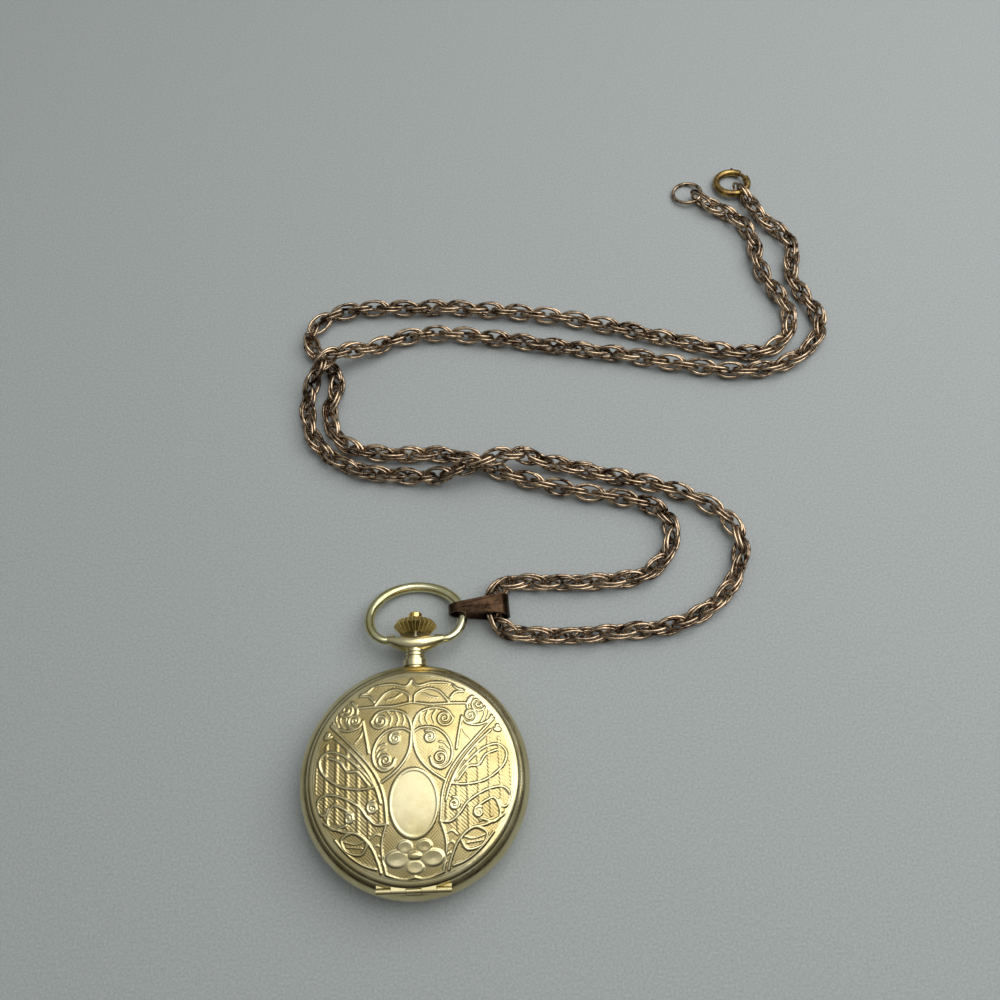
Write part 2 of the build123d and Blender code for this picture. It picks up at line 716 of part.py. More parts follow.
# The bail hangs on the right side of the bow
grip_local, grip_tangent = bow_point(bail_grip_angle)
lean = math.radians(bow_droop)
grip_at = (
    grip_local[0], pivot_y + grip_local[1] * math.cos(lean), pendant_z - grip_local[1] * math.sin(lean))


def bail_frame():
    turn = math.radians(bail_turn)
    dip = math.radians(bail_dip)
    forward = (math.cos(turn) * math.cos(dip), math.sin(turn) * math.cos(dip), -math.sin(dip))
    across = (-math.sin(turn), math.cos(turn), 0)
    return Plane(origin=grip_at, x_dir=forward, z_dir=(-across[0], -across[1], 0))


def teardrop(grow):
    """The bail's side outline: a small and a large circle and their tangents."""
    tip = (-bail_tip_reach + bail_tip_radius, 0)
    mouth = (bail_mouth_reach - bail_mouth_radius, 0)
    small = bail_tip_radius + grow
    large = bail_mouth_radius + grow
    lean_angle = 90 + math.degrees(math.asin((large - small) / (mouth[0] - tip[0])))
    upper_tip = polar(small, lean_angle, tip)
    lower_tip = polar(small, -lean_angle, tip)
    upper_mouth = polar(large, lean_angle, mouth)
    lower_mouth = polar(large, -lean_angle, mouth)
    edges = Line(upper_tip, upper_mouth)
    edges += ThreePointArc(upper_mouth, (mouth[0] + large, 0), lower_mouth)
    edges += Line(lower_mouth, lower_tip)
    edges += ThreePointArc(lower_tip, (tip[0] - small, 0), upper_tip)
    return make_face(edges)


def bail_plan(tip_width, mouth_width, start, end, offset_tip=0.0, offset_mouth=0.0):
    """A tapering strip seen from above, standing tall through the bail."""
    place = Plane(origin=(0, -2 * bail_mouth_radius, 0), x_dir=(1, 0, 0), z_dir=(0, 1, 0))
    outline = Polyline(
        (start, offset_tip - tip_width / 2), (end, offset_mouth - mouth_width / 2),
        (end, offset_mouth + mouth_width / 2), (start, offset_tip + tip_width / 2), close=True)
    return extrude(place * make_face(outline), 4 * bail_mouth_radius)


def make_bail():
    deep = bail_mouth_width * 2
    start = -bail_tip_reach - overrun
    end = bail_mouth_reach + overrun
    loop = extrude(teardrop(0) - teardrop(-bail_sheet), deep / 2, both=True)
    loop = loop & bail_plan(bail_tip_width, bail_mouth_width, start, end)
    inset = bail_mouth_radius * 0.6
    for number in range(bail_ribs):
        share = number / (bail_ribs - 1) - 0.5
        raised = extrude(teardrop(bail_rib_height) - teardrop(-bail_sheet / 2), deep / 2, both=True)
        rib = raised & bail_plan(
            bail_rib_width, bail_rib_width, -bail_tip_reach + bail_tip_radius, bail_mouth_reach - inset,
            share * (bail_tip_width - bail_rib_width), share * (bail_mouth_width - 2 * bail_rib_width))
        rib = rib & box_between((start, 0, -deep), (end, 2 * bail_mouth_radius, deep))
        loop = loop + rib
    return bail_frame() * loop


# Chain
def route_path(points):
    """Straight runs joined by tangent arcs, each as large as its runs allow."""
    radii = []
    for before, corner, after in zip(points, points[1:], points[2:]):
        first = Vector(*corner) - Vector(*before)
        second = Vector(*after) - Vector(*corner)
        half_turn = math.radians(first.get_angle(second)) / 2
        radii.append(0.45 * min(first.length, second.length) / math.tan(half_turn))
    print("route of", len(points), "points, smallest radius", round(min(radii), 2))
    return FilletPolyline(*points, radius=radii)


def make_link():
    """One oval link of round wire, lying flat, built from four arcs."""
    end_centre = link_half_length - link_end_radius
    side_drop = (end_centre ** 2 + link_half_width ** 2 - link_end_radius ** 2) / (
        2 * (link_half_width - link_end_radius))
    side_centre = side_drop - link_half_width
    join = math.degrees(math.atan2(side_centre, end_centre))
    corners = {}
    for across in (-1, 1):
        for along in (-1, 1):
            x = along * (end_centre + link_end_radius * math.cos(math.radians(join)))
            y = across * link_end_radius * math.sin(math.radians(join))
            corners[along, across] = (x, y)
    path = ThreePointArc(corners[1, -1], (link_half_length, 0), corners[1, 1])
    path += ThreePointArc(corners[1, 1], (0, link_half_width), corners[-1, 1])
    path += ThreePointArc(corners[-1, 1], (-link_half_length, 0), corners[-1, -1])
    path += ThreePointArc(corners[-1, -1], (0, -link_half_width), corners[1, -1])
    start = Plane(origin=path @ 0, z_dir=path % 0)
    return sweep(start * Circle(link_wire / 2), path=path)


def link_twist(number, count):
    """The turn of a pair about the chain, slowly wandering round 45 degrees."""
    wander = 45 + 12 * math.sin(number * 0.37) + 8 * math.sin(number * 0.11)
    left = count - 1 - number
    if left < twist_ease:
        target = 0 if (count - 1) % 2 == 0 else 90
        wander += (target - wander) * (1 - left / twist_ease)
    return wander + 90 * number


def pair_planes(points):
    path = route_path(points)
    length = path.length
    count = round(length / link_pitch)
    planes = []
    for number in range(count):
        start = path @ (number / count)
        end = path @ ((number + 1) / count)
        forward = (end - start).normalized()
        side = Vector(0, 0, 1).cross(forward).normalized()
        rise = forward.cross(side)
        turn = math.radians(link_twist(number, count))
        normal = side * math.cos(turn) + rise * math.sin(turn)
        planes.append(Plane(origin=(start + end) / 2, x_dir=forward, z_dir=normal))
    return planes, length


def make_chain(points):
    link = make_link().solid()
    planes, length = pair_planes(points)
    links = []
    for plane in planes:
        for side in (-1, 1):
            links.append(link.moved(plane.location * Location((0, 0, side * link_pair_offset))))
    print("chain half", round(length, 1), "mm,", len(links), "links")
    return links


# The ring at one end and the spring ring at the other
def tilted_at(centre, radius, rim_point, rim_z, low_z):
    """A plane through a ring that is lifted where the chain holds it."""
    toward = Vector(rim_point[0] - centre[0], rim_point[1] - centre[1], 0)
    rise = math.atan2(rim_z - low_z, toward.length + radius)
    flat = toward.normalized()
    along = Vector(flat.X * math.cos(rise), flat.Y * math.cos(rise), math.sin(rise))
    up = Vector(-flat.X * math.sin(rise), -flat.Y * math.sin(rise), math.cos(rise))
    middle = low_z + radius * math.sin(rise)
    return Plane(origin=(centre[0], centre[1], middle), x_dir=along, z_dir=up)


def ring_centre(route, radius, reach):
    last = Vector(*route[-1])
    heading = last - Vector(*route[-2])
    heading = Vector(heading.X, heading.Y, 0).normalized()
    return (last.X + heading.X * (radius + reach), last.Y + heading.Y * (radius + reach))


def bent_rod(radius, wire, start, sweep_angle, bore=0):
    """Part of a ring of round wire about Z, from start over sweep_angle degrees."""
    place = Plane(origin=(radius, 0, 0), x_dir=(1, 0, 0), z_dir=(0, -1, 0))
    section = place * Circle(wire)
    if bore > 0:
        section = section - place * Circle(bore)
    return Rot(0, 0, start) * revolve(section, Axis.Z, sweep_angle)


link_floor = chain_height - link_half_width + link_wire / 2
jump_wire_radius = jump_ring_wire / 2
jump_centre = ring_centre(upper_route, jump_ring_radius, -link_seat - jump_wire_radius)
jump_plane = tilted_at(
    jump_centre, jump_ring_radius, upper_route[-1], link_floor + jump_wire_radius + 0.35, jump_wire_radius + fit_gap)
clasp_centre = ring_centre(lower_route, clasp_radius, -link_seat - clasp_tube_radius)
clasp_plane = tilted_at(
    clasp_centre, clasp_radius, lower_route[-1], link_floor + clasp_tube_radius + 0.2, clasp_tube_radius + fit_gap)
clasp_heading = math.degrees(
    math.atan2(lower_route[-1][1] - clasp_centre[1], lower_route[-1][0] - clasp_centre[0]))


def clasp_place():
    return clasp_plane * Rot(0, 0, clasp_turn - clasp_heading)


clasp_tube_end = clasp_gap_start + clasp_gap
clasp_bore_end = clasp_tube_end + clasp_lever_length + clasp_spring_length


def make_clasp_body():
    body = bent_rod(clasp_radius, clasp_tube_radius, clasp_tube_end, 360 - clasp_gap)
    body -= bent_rod(clasp_radius, clasp_bore_radius, clasp_tube_end, clasp_bore_end - clasp_tube_end)
    body -= bent_rod(clasp_radius, clasp_bore_radius, clasp_gap_start - 6, 8)
    slot_start = clasp_nub_angle - 5
    slot = bent_rod(clasp_radius + clasp_tube_radius, clasp_nub_radius + 0.15, slot_start, clasp_gap + 15)
    return clasp_place() * (body - slot)


def make_clasp_lever():
    start = clasp_gap_start - 3
    body = bent_rod(clasp_radius, clasp_lever_radius, start, clasp_gap + clasp_lever_length - clasp_gap + 3)
    nub_length = clasp_tube_radius + clasp_nub_height
    nub = Pos(clasp_radius, 0, 0) * Rot(0, 90, 0) * Cylinder(clasp_nub_radius, nub_length, align=ON_FLOOR)
    return clasp_place() * (body + Rot(0, 0, clasp_nub_angle) * nub)


def make_clasp_spring():
    start = clasp_gap_start + clasp_lever_length + 2
    spring = bent_rod(
        clasp_radius, clasp_lever_radius - 0.04, start, clasp_bore_end - start - 2, bore=clasp_lever_radius * 0.6)
    return clasp_place() * spring


# Movement
jewel_places = [third_at, fourth_at, escape_at]
pallet_bridge_low = bridge_high + 0.12
cock_high = bridge_low
cock_low = cock_high - cock_thickness
pillar_places = {
    "barrel": [(-15.4, 3.8), (12.4, 11.0), (-5.2, 16.4)],
    "train": [(13.6, -9.2), (5.6, -16.2), (14.4, -1.6)],
}


def scaled_place(place):
    """Keeps a pillar or screw at its share of the plate's radius."""
    return (place[0] * plate_scale, place[1] * plate_scale)


def make_main_plate():
    plate = drum(plate_radius, plate_low, plate_high)
    recess_floor = plate_high - motion_recess
    plate -= drum(hour_teeth * hour_module / 2 + 3 * hour_module, recess_floor, plate_high + overrun)
    plate -= drum(
        minute_teeth * motion_module / 2 + 3 * motion_module, recess_floor, plate_high + overrun, *minute_at)
    plate -= drum(arbor_radius + 0.15, plate_low - overrun, plate_high + overrun)
    plate -= drum(arbor_radius + 0.05, plate_low - overrun, plate_high + overrun, *fourth_at)
    for place in (third_at, escape_at, pallet_at, balance_at):
        plate -= drum(jewel_radius, plate_low - overrun, plate_low + jewel_thickness, *place)
        plate -= drum(pivot_radius + pivot_play, plate_low, plate_high - motion_recess / 2, *place)
    plate -= drum(arbor_radius + pivot_play, plate_low - overrun, plate_low + jewel_thickness, *barrel_at)
    plate -= box_between(
        (-1.4, clutch_start - 0.3, plate_low - overrun), (1.4, plate_radius + overrun, plate_high + overrun))
    plate -= along_y(stem_radius + pivot_play, stem_end - 0.2, plate_radius)
    plate -= drum(
        minute_post_radius, plate_high - motion_recess - overrun, plate_high - motion_recess, *minute_at)
    plate -= box_between(
        (1.3, clutch_start - 0.5, plate_high - 0.5), (5.6, clutch_start + 3.4, plate_high + overrun))
    for angle in case_screw_angles:
        x, y = polar(case_screw_radius, angle)
        plate -= drum(screw_shank_radius + fit_gap, plate_low - overrun, plate_high - 0.4, x, y)
    return plate


def make_movement_ring():
    ring = drum(bore_radius - fit_gap, plate_low, plate_high, bore=plate_radius + fit_gap)
    for angle in case_screw_angles:
        x, y = polar(case_screw_radius, angle)
        ring -= drum(screw_shank_radius + fit_gap, plate_low - overrun, plate_high - 0.4, x, y)
    ring -= along_y(pendant_bore_radius, plate_radius - overrun, bore_radius + overrun)
    return ring


def make_case_screws():
    screws = []
    for angle in case_screw_angles:
        x, y = polar(case_screw_radius, angle)
        screws.append(screw(x, y, plate_low - screw_head_height, plate_high - 0.5))
    return screws


def half_disc(low, high, front):
    disc = drum(plate_radius - bridge_margin, low, high)
    reach = plate_radius * 2
    if front:
        return disc & box_between((-reach, bridge_split_y, low), (reach, reach, high))
    return disc & box_between((-reach, -reach, low), (reach, bridge_split_y - bridge_split, high))


def make_barrel_bridge():
    bridge = half_disc(bridge_low, bridge_high, True)
    for place in pillar_places["barrel"]:
        x, y = scaled_place(place)
        bridge += drum(pillar_radius, bridge_low, plate_low, x, y)
        bridge -= drum(screw_shank_radius + fit_gap, bridge_low - overrun, plate_low + overrun, x, y)
    bridge -= drum(arbor_radius + pivot_play, bridge_low - overrun, bridge_high + overrun, *barrel_at)
    bridge -= drum(
        minute_post_radius + pivot_play, bridge_low - overrun, bridge_high + overrun, *crown_wheel_at)
    bridge -= drum(click_post_radius, bridge_low - overrun, bridge_low + 0.5, *click_at)
    return bridge


def make_train_bridge():
    bridge = half_disc(bridge_low, bridge_high, False)
    bridge -= drum(balance_radius + 1.1, bridge_low - overrun, bridge_high + overrun, *balance_at)
    bridge -= box_between(
        (-plate_radius, -plate_radius, bridge_low - overrun),
        (escape_at[0] - 1.5, plate_radius, bridge_high + overrun))
    for place in pillar_places["train"]:
        x, y = scaled_place(place)
        bridge += drum(pillar_radius, bridge_low, plate_low, x, y)
        bridge -= drum(screw_shank_radius + fit_gap, bridge_low - overrun, plate_low + overrun, x, y)
    for place in jewel_places:
        bridge -= drum(jewel_radius, bridge_high - jewel_thickness, bridge_high + overrun, *place)
        bridge -= drum(pivot_radius + pivot_play, bridge_low - overrun, bridge_high, *place)
    bridge -= drum(arbor_radius + pivot_play, bridge_low - overrun, bridge_high + overrun)
    return bridge


def make_bridge_screws():
    screws = []
    for group in pillar_places.values():
        for place in group:
            x, y = scaled_place(place)
            screws.append(screw(x, y, bridge_low - screw_head_height, plate_low - 0.2))
    return screws


def make_balance_cock():
    reach = balance_radius + balance_foot_reach
    foot_at = polar(reach, balance_foot_angle, balance_at)
    arm = Pos((balance_at[0] + foot_at[0]) / 2, (balance_at[1] + foot_at[1]) / 2, cock_low) * Rot(
        0, 0, balance_foot_angle) * Box(reach, cock_arm_width, cock_high - cock_low, align=ON_FLOOR)
    cock = arm + drum(cock_boss_radius, cock_low, cock_high, *balance_at)
    cock += drum(balance_foot_radius, cock_low, plate_low, *foot_at)
    cock -= drum(jewel_radius, cock_high - jewel_thickness, cock_high + overrun, *balance_at)
    return cock


def make_pallet_bridge():
    foot_at = polar(pallet_foot_reach, pallet_foot_angle, pallet_at)
    high = escape_low - 0.1
    arm = Pos((pallet_at[0] + foot_at[0]) / 2, (pallet_at[1] + foot_at[1]) / 2, pallet_bridge_low) * Rot(
        0, 0, pallet_foot_angle) * Box(pallet_foot_reach, pallet_arm_width, high - pallet_bridge_low, align=ON_FLOOR)
    bridge = arm + drum(0.7, pallet_bridge_low, high, *pallet_at)
    bridge += drum(0.8, pallet_bridge_low, plate_low, *foot_at)
    return bridge - drum(pivot_radius + pivot_play, pallet_bridge_low - overrun, high + overrun, *pallet_at)


def make_jewels():
    jewels = []
    for place in jewel_places:
        jewels.append(drum(
            jewel_radius, bridge_high - jewel_thickness, bridge_high, *place, bore=pivot_radius + pivot_play))
    for place in (third_at, escape_at, pallet_at, balance_at):
        jewels.append(drum(
            jewel_radius, plate_low, plate_low + jewel_thickness, *place, bore=pivot_radius + pivot_play))
    jewels.append(drum(
        jewel_radius, cock_high - jewel_thickness, cock_high, *balance_at, bore=pivot_radius + pivot_play))
    return jewels


def make_barrel():
    rim = toothed(
        barrel_teeth, barrel_module, barrel_low, barrel_rim_high, *barrel_at, towards(barrel_at, (0, 0)))
    inner = barrel_teeth * barrel_module / 2 - 2 * barrel_module
    body = rim + drum(inner, barrel_low, barrel_low + barrel_height, *barrel_at)
    body -= drum(
        inner - barrel_wall, barrel_low + barrel_wall / 2, barrel_low + barrel_height - barrel_wall / 2, *barrel_at)
    body -= drum(arbor_radius + pivot_play, barrel_low - overrun, plate_low, *barrel_at)
    return body


def make_mainspring():
    inner = barrel_teeth * barrel_module / 2 - 2 * barrel_module - barrel_wall
    low = barrel_low + barrel_wall / 2 + fit_gap
    high = barrel_low + barrel_height - barrel_wall / 2 - fit_gap
    turns = 9
    start = 1.2
    step = (inner - start) / (turns + 1)
    strip = step * 0.5
    points_out = []
    points_in = []
    for quarter in range(turns * 8 + 1):
        angle = quarter * 45
        radius = start + step * quarter / 8
        points_out.append(polar(radius + strip, angle, barrel_at))
        points_in.append(polar(radius, angle, barrel_at))
    outer = Spline(*points_out)
    inside = Spline(*points_in)
    edges = outer + inside + Line(points_out[0], points_in[0]) + Line(points_out[-1], points_in[-1])
    return Pos(0, 0, low) * extrude(make_face(edges), high - low)


def make_ratchet_wheel():
    wheel = toothed(
        ratchet_teeth, winding_module, winding_low, winding_low + winding_wheel_thickness, *barrel_at,
        towards(barrel_at, crown_wheel_at))
    shaft = drum(arbor_radius, winding_low, plate_low + jewel_thickness, *barrel_at)
    return wheel + shaft


def make_crown_wheel():
    step = 360 / crown_wheel_teeth
    wheel = toothed(
        crown_wheel_teeth, winding_module, winding_low, winding_low + winding_wheel_thickness,
        *crown_wheel_at, towards(crown_wheel_at, barrel_at) + step / 2)
    return wheel + drum(minute_post_radius, winding_low, bridge_high, *crown_wheel_at)


def make_click():
    tip = polar(ratchet_teeth * winding_module / 2 + click_tip_reach, click_tip_angle, barrel_at)
    outline = Polyline(
        polar(0.55, 60, click_at), polar(0.55, 240, click_at), polar(0.12, 230, tip), polar(0.12, 50, tip),
        close=True)
    body = drum(click_boss_radius, winding_low, winding_low + winding_wheel_thickness, *click_at)
    body += Pos(0, 0, winding_low) * extrude(make_face(outline), winding_wheel_thickness)
    return body + drum(click_post_radius - pivot_play, winding_low, bridge_low + 0.45, *click_at)


def make_click_spring():
    start = polar(1.0, 180, click_at)
    bar = Pos(start[0], start[1] + 2.2, bridge_low - 0.3) * Box(0.3, 4.4, 0.3, align=ON_FLOOR)
    return bar + drum(0.5, bridge_low - 0.3, bridge_low, start[0], start[1] + 4.4)


def make_centre_wheel():
    high = centre_low + wheel_thickness
    wheel = toothed(centre_teeth, centre_module, centre_low, high, 0, 0, towards((0, 0), third_at))
    wheel = spoked(wheel, centre_teeth * centre_module / 2, 4, centre_low, high, 0, 0)
    wheel += toothed(
        centre_pinion_teeth, barrel_module, barrel_low, barrel_low + 0.4, 0, 0,
        towards((0, 0), barrel_at) + 180 / centre_pinion_teeth, share=0.35)
    wheel += drum(arbor_radius, bridge_low + 0.2, hand_level(2) + hand_thickness, 0, 0)
    return wheel


def make_third_wheel():
    high = third_low + wheel_thickness
    wheel = toothed(third_teeth, third_module, third_low, high, *third_at, towards(third_at, fourth_at))
    wheel = spoked(wheel, third_teeth * third_module / 2, 4, third_low, high, *third_at)
    wheel += toothed(
        train_pinion_teeth, centre_module, centre_low - 0.1, centre_low + wheel_thickness + 0.05, *third_at,
        towards(third_at, (0, 0)) + 180 / train_pinion_teeth, share=0.35)
    return wheel + arbor(*third_at)


def make_fourth_wheel():
    high = fourth_low + wheel_thickness
    wheel = toothed(fourth_teeth, fourth_module, fourth_low, high, *fourth_at, towards(fourth_at, escape_at))
    wheel = spoked(wheel, fourth_teeth * fourth_module / 2, 4, fourth_low, high, *fourth_at)
    wheel += toothed(
        train_pinion_teeth, third_module, third_low - 0.1, third_low + wheel_thickness + 0.1, *fourth_at,
        towards(fourth_at, third_at) + 180 / train_pinion_teeth, share=0.35)
    wheel += drum(arbor_radius, bridge_high + pivot_play, plate_high, *fourth_at)
    wheel += drum(pivot_radius, bridge_high - jewel_thickness, hand_level(0) + hand_thickness, *fourth_at)
    return wheel


def make_escape_wheel():
    high = escape_low + wheel_thickness
    step = 360 / escape_teeth
    points = []
    for tooth in range(escape_teeth):
        start = tooth * step
        points.append(polar(escape_radius * 0.78, start))
        points.append(polar(escape_radius * 0.96, start + step * 0.62))
        points.append(polar(escape_radius, start + step * 0.8))
        points.append(polar(escape_radius * 0.8, start + step * 0.92))
    blank = Pos(escape_at[0], escape_at[1], escape_low) * extrude(
        make_face(Polyline(*points, close=True)), high - escape_low)
    wheel = spoked(blank, escape_radius * 0.78, 4, escape_low, high, *escape_at, rim=0.3, hub=0.6, spoke=0.2)
    wheel += toothed(
        escape_pinion_teeth, fourth_module, fourth_low - 0.1, fourth_low + wheel_thickness + 0.1, *escape_at,
        towards(escape_at, fourth_at) + 180 / escape_pinion_teeth, share=0.35)
    return wheel + arbor(*escape_at)


def make_pallet_fork():
    high = escape_low + wheel_thickness
    turn = balance_angle
    place = Pos(pallet_at[0], pallet_at[1], escape_low) * Rot(0, 0, turn)
    reach = balance_distance - pallet_distance - 0.75
    lever = Box(reach, 0.35, high - escape_low, align=(Align.MIN, Align.CENTER, Align.MIN))
    horns = Pos(reach - 0.2, 0, 0) * Box(0.7, 0.9, high - escape_low, align=ON_FLOOR)
    notch = Pos(reach + 0.15, 0, -overrun) * Box(0.7, 0.3, 2, align=ON_FLOOR)
    arms = Pos(-0.1, 0, 0) * Box(0.4, 3.0, high - escape_low, align=ON_FLOOR)
    body = place * ((lever + horns + arms + Cylinder(0.45, high - escape_low, align=ON_FLOOR)) - notch)
    for side in (-1, 1):
        stone = Pos(-0.25, side * 1.4, 0) * Box(0.45, 0.3, high - escape_low, align=ON_FLOOR)
        body += place * stone
    low = pallet_bridge_low + 0.1
    return body + arbor(*pallet_at, low=escape_low - 0.05) - drum(1, low - 3, low, *pallet_at)


def make_balance_wheel():
    low = bridge_low + 0.75
    high = low + 0.4
    wheel = drum(balance_radius, low, high, *balance_at, bore=balance_radius - balance_rim)
    wheel += Pos(balance_at[0], balance_at[1], low) * Rot(0, 0, 35) * Box(
        2 * (balance_radius - balance_rim / 2), 0.7, high - low, align=ON_FLOOR)
    for number in range(12):
        angle = 35 + 15 + number * 30
        x, y = polar(balance_radius - 0.1, angle, balance_at)
        wheel += drum(0.22, low, high, x, y)
    wheel += drum(0.75, escape_low - 0.35, escape_low - 0.1, *balance_at)
    wheel += arbor(*balance_at, low=cock_high + pivot_play)
    return wheel


def make_hairspring():
    low = bridge_low + 0.35
    turns = 9
    start = 0.7
    step = (balance_radius * 0.55 - start) / turns
    strip = 0.09
    points_out = []
    points_in = []
    for quarter in range(turns * 8 + 1):
        angle = quarter * 45
        radius = start + step * quarter / 8
        points_out.append(polar(radius + strip, angle, balance_at))
        points_in.append(polar(radius, angle, balance_at))
    edges = Spline(*points_out) + Spline(*points_in)
    edges += Line(points_out[0], points_in[0]) + Line(points_out[-1], points_in[-1])
    return Pos(0, 0, low) * extrude(make_face(edges), 0.18)


# Keyless work
def make_winding_stem():
    tip = crown_foot_y + crown_height - crown_flute_depth - crown_travel - fit_gap
    stem = along_y(stem_radius, stem_end + stem_tip_length, tip)
    return stem + along_y(stem_radius * stem_tip_share, stem_end, tip)


def make_sliding_clutch():
    clutch_end = clutch_start + clutch_length
    groove_start = clutch_start + clutch_groove_start
    body = along_y(clutch_radius, clutch_start, clutch_end)
    body -= along_y(stem_radius + fit_gap, clutch_start - overrun, clutch_end + overrun)
    groove = along_y(clutch_radius + overrun, groove_start, groove_start + clutch_groove_width)
    return body - (groove - along_y(clutch_groove_radius, clutch_start, clutch_end))


def make_winding_pinion():
    start = clutch_start + clutch_length + winding_gap
    blank = toothed(winding_pinion_teeth, winding_pinion_module, 0, winding_pinion_length)
    body = Pos(0, start, pendant_z) * Rot(-90, 0, 0) * blank
    return body - along_y(stem_radius + fit_gap, start - overrun, start + winding_pinion_length + overrun)


def make_setting_lever():
    low = plate_high - 0.45
    outline = Polyline(
        (1.6, clutch_start + 0.2), (3.4, clutch_start - 0.1), (5.2, clutch_start + 1.4),
        (4.6, clutch_start + 3.0), (3.2, clutch_start + 2.8), (2.6, clutch_start + 1.4), close=True)
    return Pos(0, 0, low) * extrude(make_face(outline), 0.35)


def make_pendant_sleeve():
    outer = pendant_bore_radius - fit_gap
    start = bore_radius + 0.1
    end = crown_foot_y - crown_travel - 0.15
    return along_y(outer, start, end) - along_y(outer - sleeve_wall, start - overrun, end + overrun)


# Dial side
def hand_level(step):
    return dial_high + 0.2 + step * hand_step


def make_dial():
    dial = drum(plate_radius + dial_overlap, plate_high, dial_high)
    dial -= drum(1.0, plate_high - overrun, dial_high + overrun)
    dial -= drum(0.4, plate_high - overrun, dial_high + overrun, *fourth_at)
    return dial


def make_cannon_pinion():
    low = plate_high - motion_recess + 0.1
    step = 360 / cannon_teeth
    pinion = toothed(
        cannon_teeth, motion_module, low, low + 0.3, 0, 0, towards((0, 0), minute_at) + step / 2, share=0.35)
    pinion += drum(0.5, low, hand_level(2), 0, 0)
    return pinion - drum(arbor_radius + 0.02, low - overrun, hand_level(2) + overrun, 0, 0)


def make_minute_wheel():
    low = plate_high - motion_recess + 0.1
    wheel = toothed(
        minute_teeth, motion_module, low, low + 0.2, *minute_at, towards(minute_at, (0, 0)))
    step = 360 / minute_pinion_teeth
    wheel += toothed(
        minute_pinion_teeth, hour_module, low + 0.2, low + 0.6, *minute_at,
        towards(minute_at, (0, 0)) + step / 2, share=0.35)
    wheel += drum(
        minute_post_radius - pivot_play, plate_high - motion_recess - 0.4, low, *minute_at)
    return wheel


def make_hour_wheel():
    low = plate_high - motion_recess + 0.4
    wheel = toothed(hour_teeth, hour_module, low, low + 0.2, 0, 0, towards((0, 0), minute_at))
    wheel += drum(0.8, low, hand_level(1), 0, 0)
    return wheel - drum(0.56, low - overrun, hand_level(1) + overrun, 0, 0)


def make_hand(length, level, boss, bore, width, tail, at=(0, 0), angle=90):
    outline = Polyline(
        (-tail, -width * 0.35), (0, -width * 0.5), (length * 0.62, -width * 0.5),
        (length * 0.72, -width * 1.5), (length * 0.82, 0 - width * 0.6), (length, 0),
        (length * 0.82, width * 0.6), (length * 0.72, width * 1.5), (length * 0.62, width * 0.5),
        (0, width * 0.5), (-tail, width * 0.35), close=True)
    blade = extrude(make_face(outline), hand_thickness)
    body = blade + Cylinder(boss, hand_thickness, align=ON_FLOOR)
    body -= Pos(0, 0, -overrun) * Cylinder(bore, hand_thickness + 2 * overrun, align=ON_FLOOR)
    return Pos(at[0], at[1], level) * Rot(0, 0, angle) * body


def build_all():
    save("case_band", make_case_band())
    save("front_lid", make_front_lid())
    save("back_cover", make_back_cover())
    save("lid_hinge_pin", along_x(hinge_pin_radius, -hinge_length / 2, hinge_length / 2, hinge_y, hinge_z))
    save("bezel_ring", make_bezel_ring())
    save("crystal", make_crystal())
    nib = bezel_radius + lid_gap * 0.4
    save("lid_lift_spring", make_case_spring(
        lift_angle - 4, lift_angle + 58, lift_angle, spring_strip, nib, band_high))
    save("lid_catch_spring", make_case_spring(
        catch_angle - 68, catch_angle + 4, catch_angle, catch_strip, bezel_radius + fit_gap, band_high + 0.4))
    save("pendant", make_pendant())
    save("pendant_sleeve", make_pendant_sleeve())
    save("crown", make_crown())
    save("bow", make_bow())
    save("bail", make_bail())
    save("main_plate", make_main_plate())
    save("movement_ring", make_movement_ring())
    save("case_screws", *make_case_screws())
    save("barrel_bridge", make_barrel_bridge())
    save("train_bridge", make_train_bridge())
    save("bridge_screws", *make_bridge_screws())
    save("balance_cock", make_balance_cock())
    save("pallet_bridge", make_pallet_bridge())
    save("jewels", *make_jewels())
    save("barrel", make_barrel())
    save("mainspring", make_mainspring())
    save("ratchet_wheel", make_ratchet_wheel())
    save("crown_wheel", make_crown_wheel())
    save("click", make_click())
    save("click_spring", make_click_spring())
    save("centre_wheel", make_centre_wheel())
    save("third_wheel", make_third_wheel())
    save("fourth_wheel", make_fourth_wheel())
    save("escape_wheel", make_escape_wheel())
    save("pallet_fork", make_pallet_fork())
    save("balance_wheel", make_balance_wheel())
    save("hairspring", make_hairspring())
    save("winding_stem", make_winding_stem())
    save("sliding_clutch", make_sliding_clutch())
    save("winding_pinion", make_winding_pinion())
    save("setting_lever", make_setting_lever())
    save("dial", make_dial())
    save("cannon_pinion", make_cannon_pinion())
    save("minute_wheel", make_minute_wheel())
    save("hour_wheel", make_hour_wheel())
    save("hour_hand", make_hand(hour_hand_length, hand_level(1), 1.1, 0.8, 0.7, 0, angle=-60))
    save("minute_hand", make_hand(minute_hand_length, hand_level(2), 0.8, 0.5, 0.5, 0, angle=-30))
    save("second_hand", make_hand(
        second_hand_length, hand_level(0), 0.35, pivot_radius, 0.16, 1.4, at=fourth_at, angle=100))
    save("jump_ring", jump_plane * Torus(jump_ring_radius, jump_wire_radius))
    save("clasp_body", make_clasp_body())
    save("clasp_lever", make_clasp_lever())
    save("clasp_spring", make_clasp_spring())
    save("chain_upper", *make_chain(upper_route))
    save("chain_lower", *make_chain(lower_route))


build_all()
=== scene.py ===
import math
from random import Random

import bmesh
import bpy
import numpy as np
from mathutils import Matrix, Vector
from mathutils.kdtree import KDTree


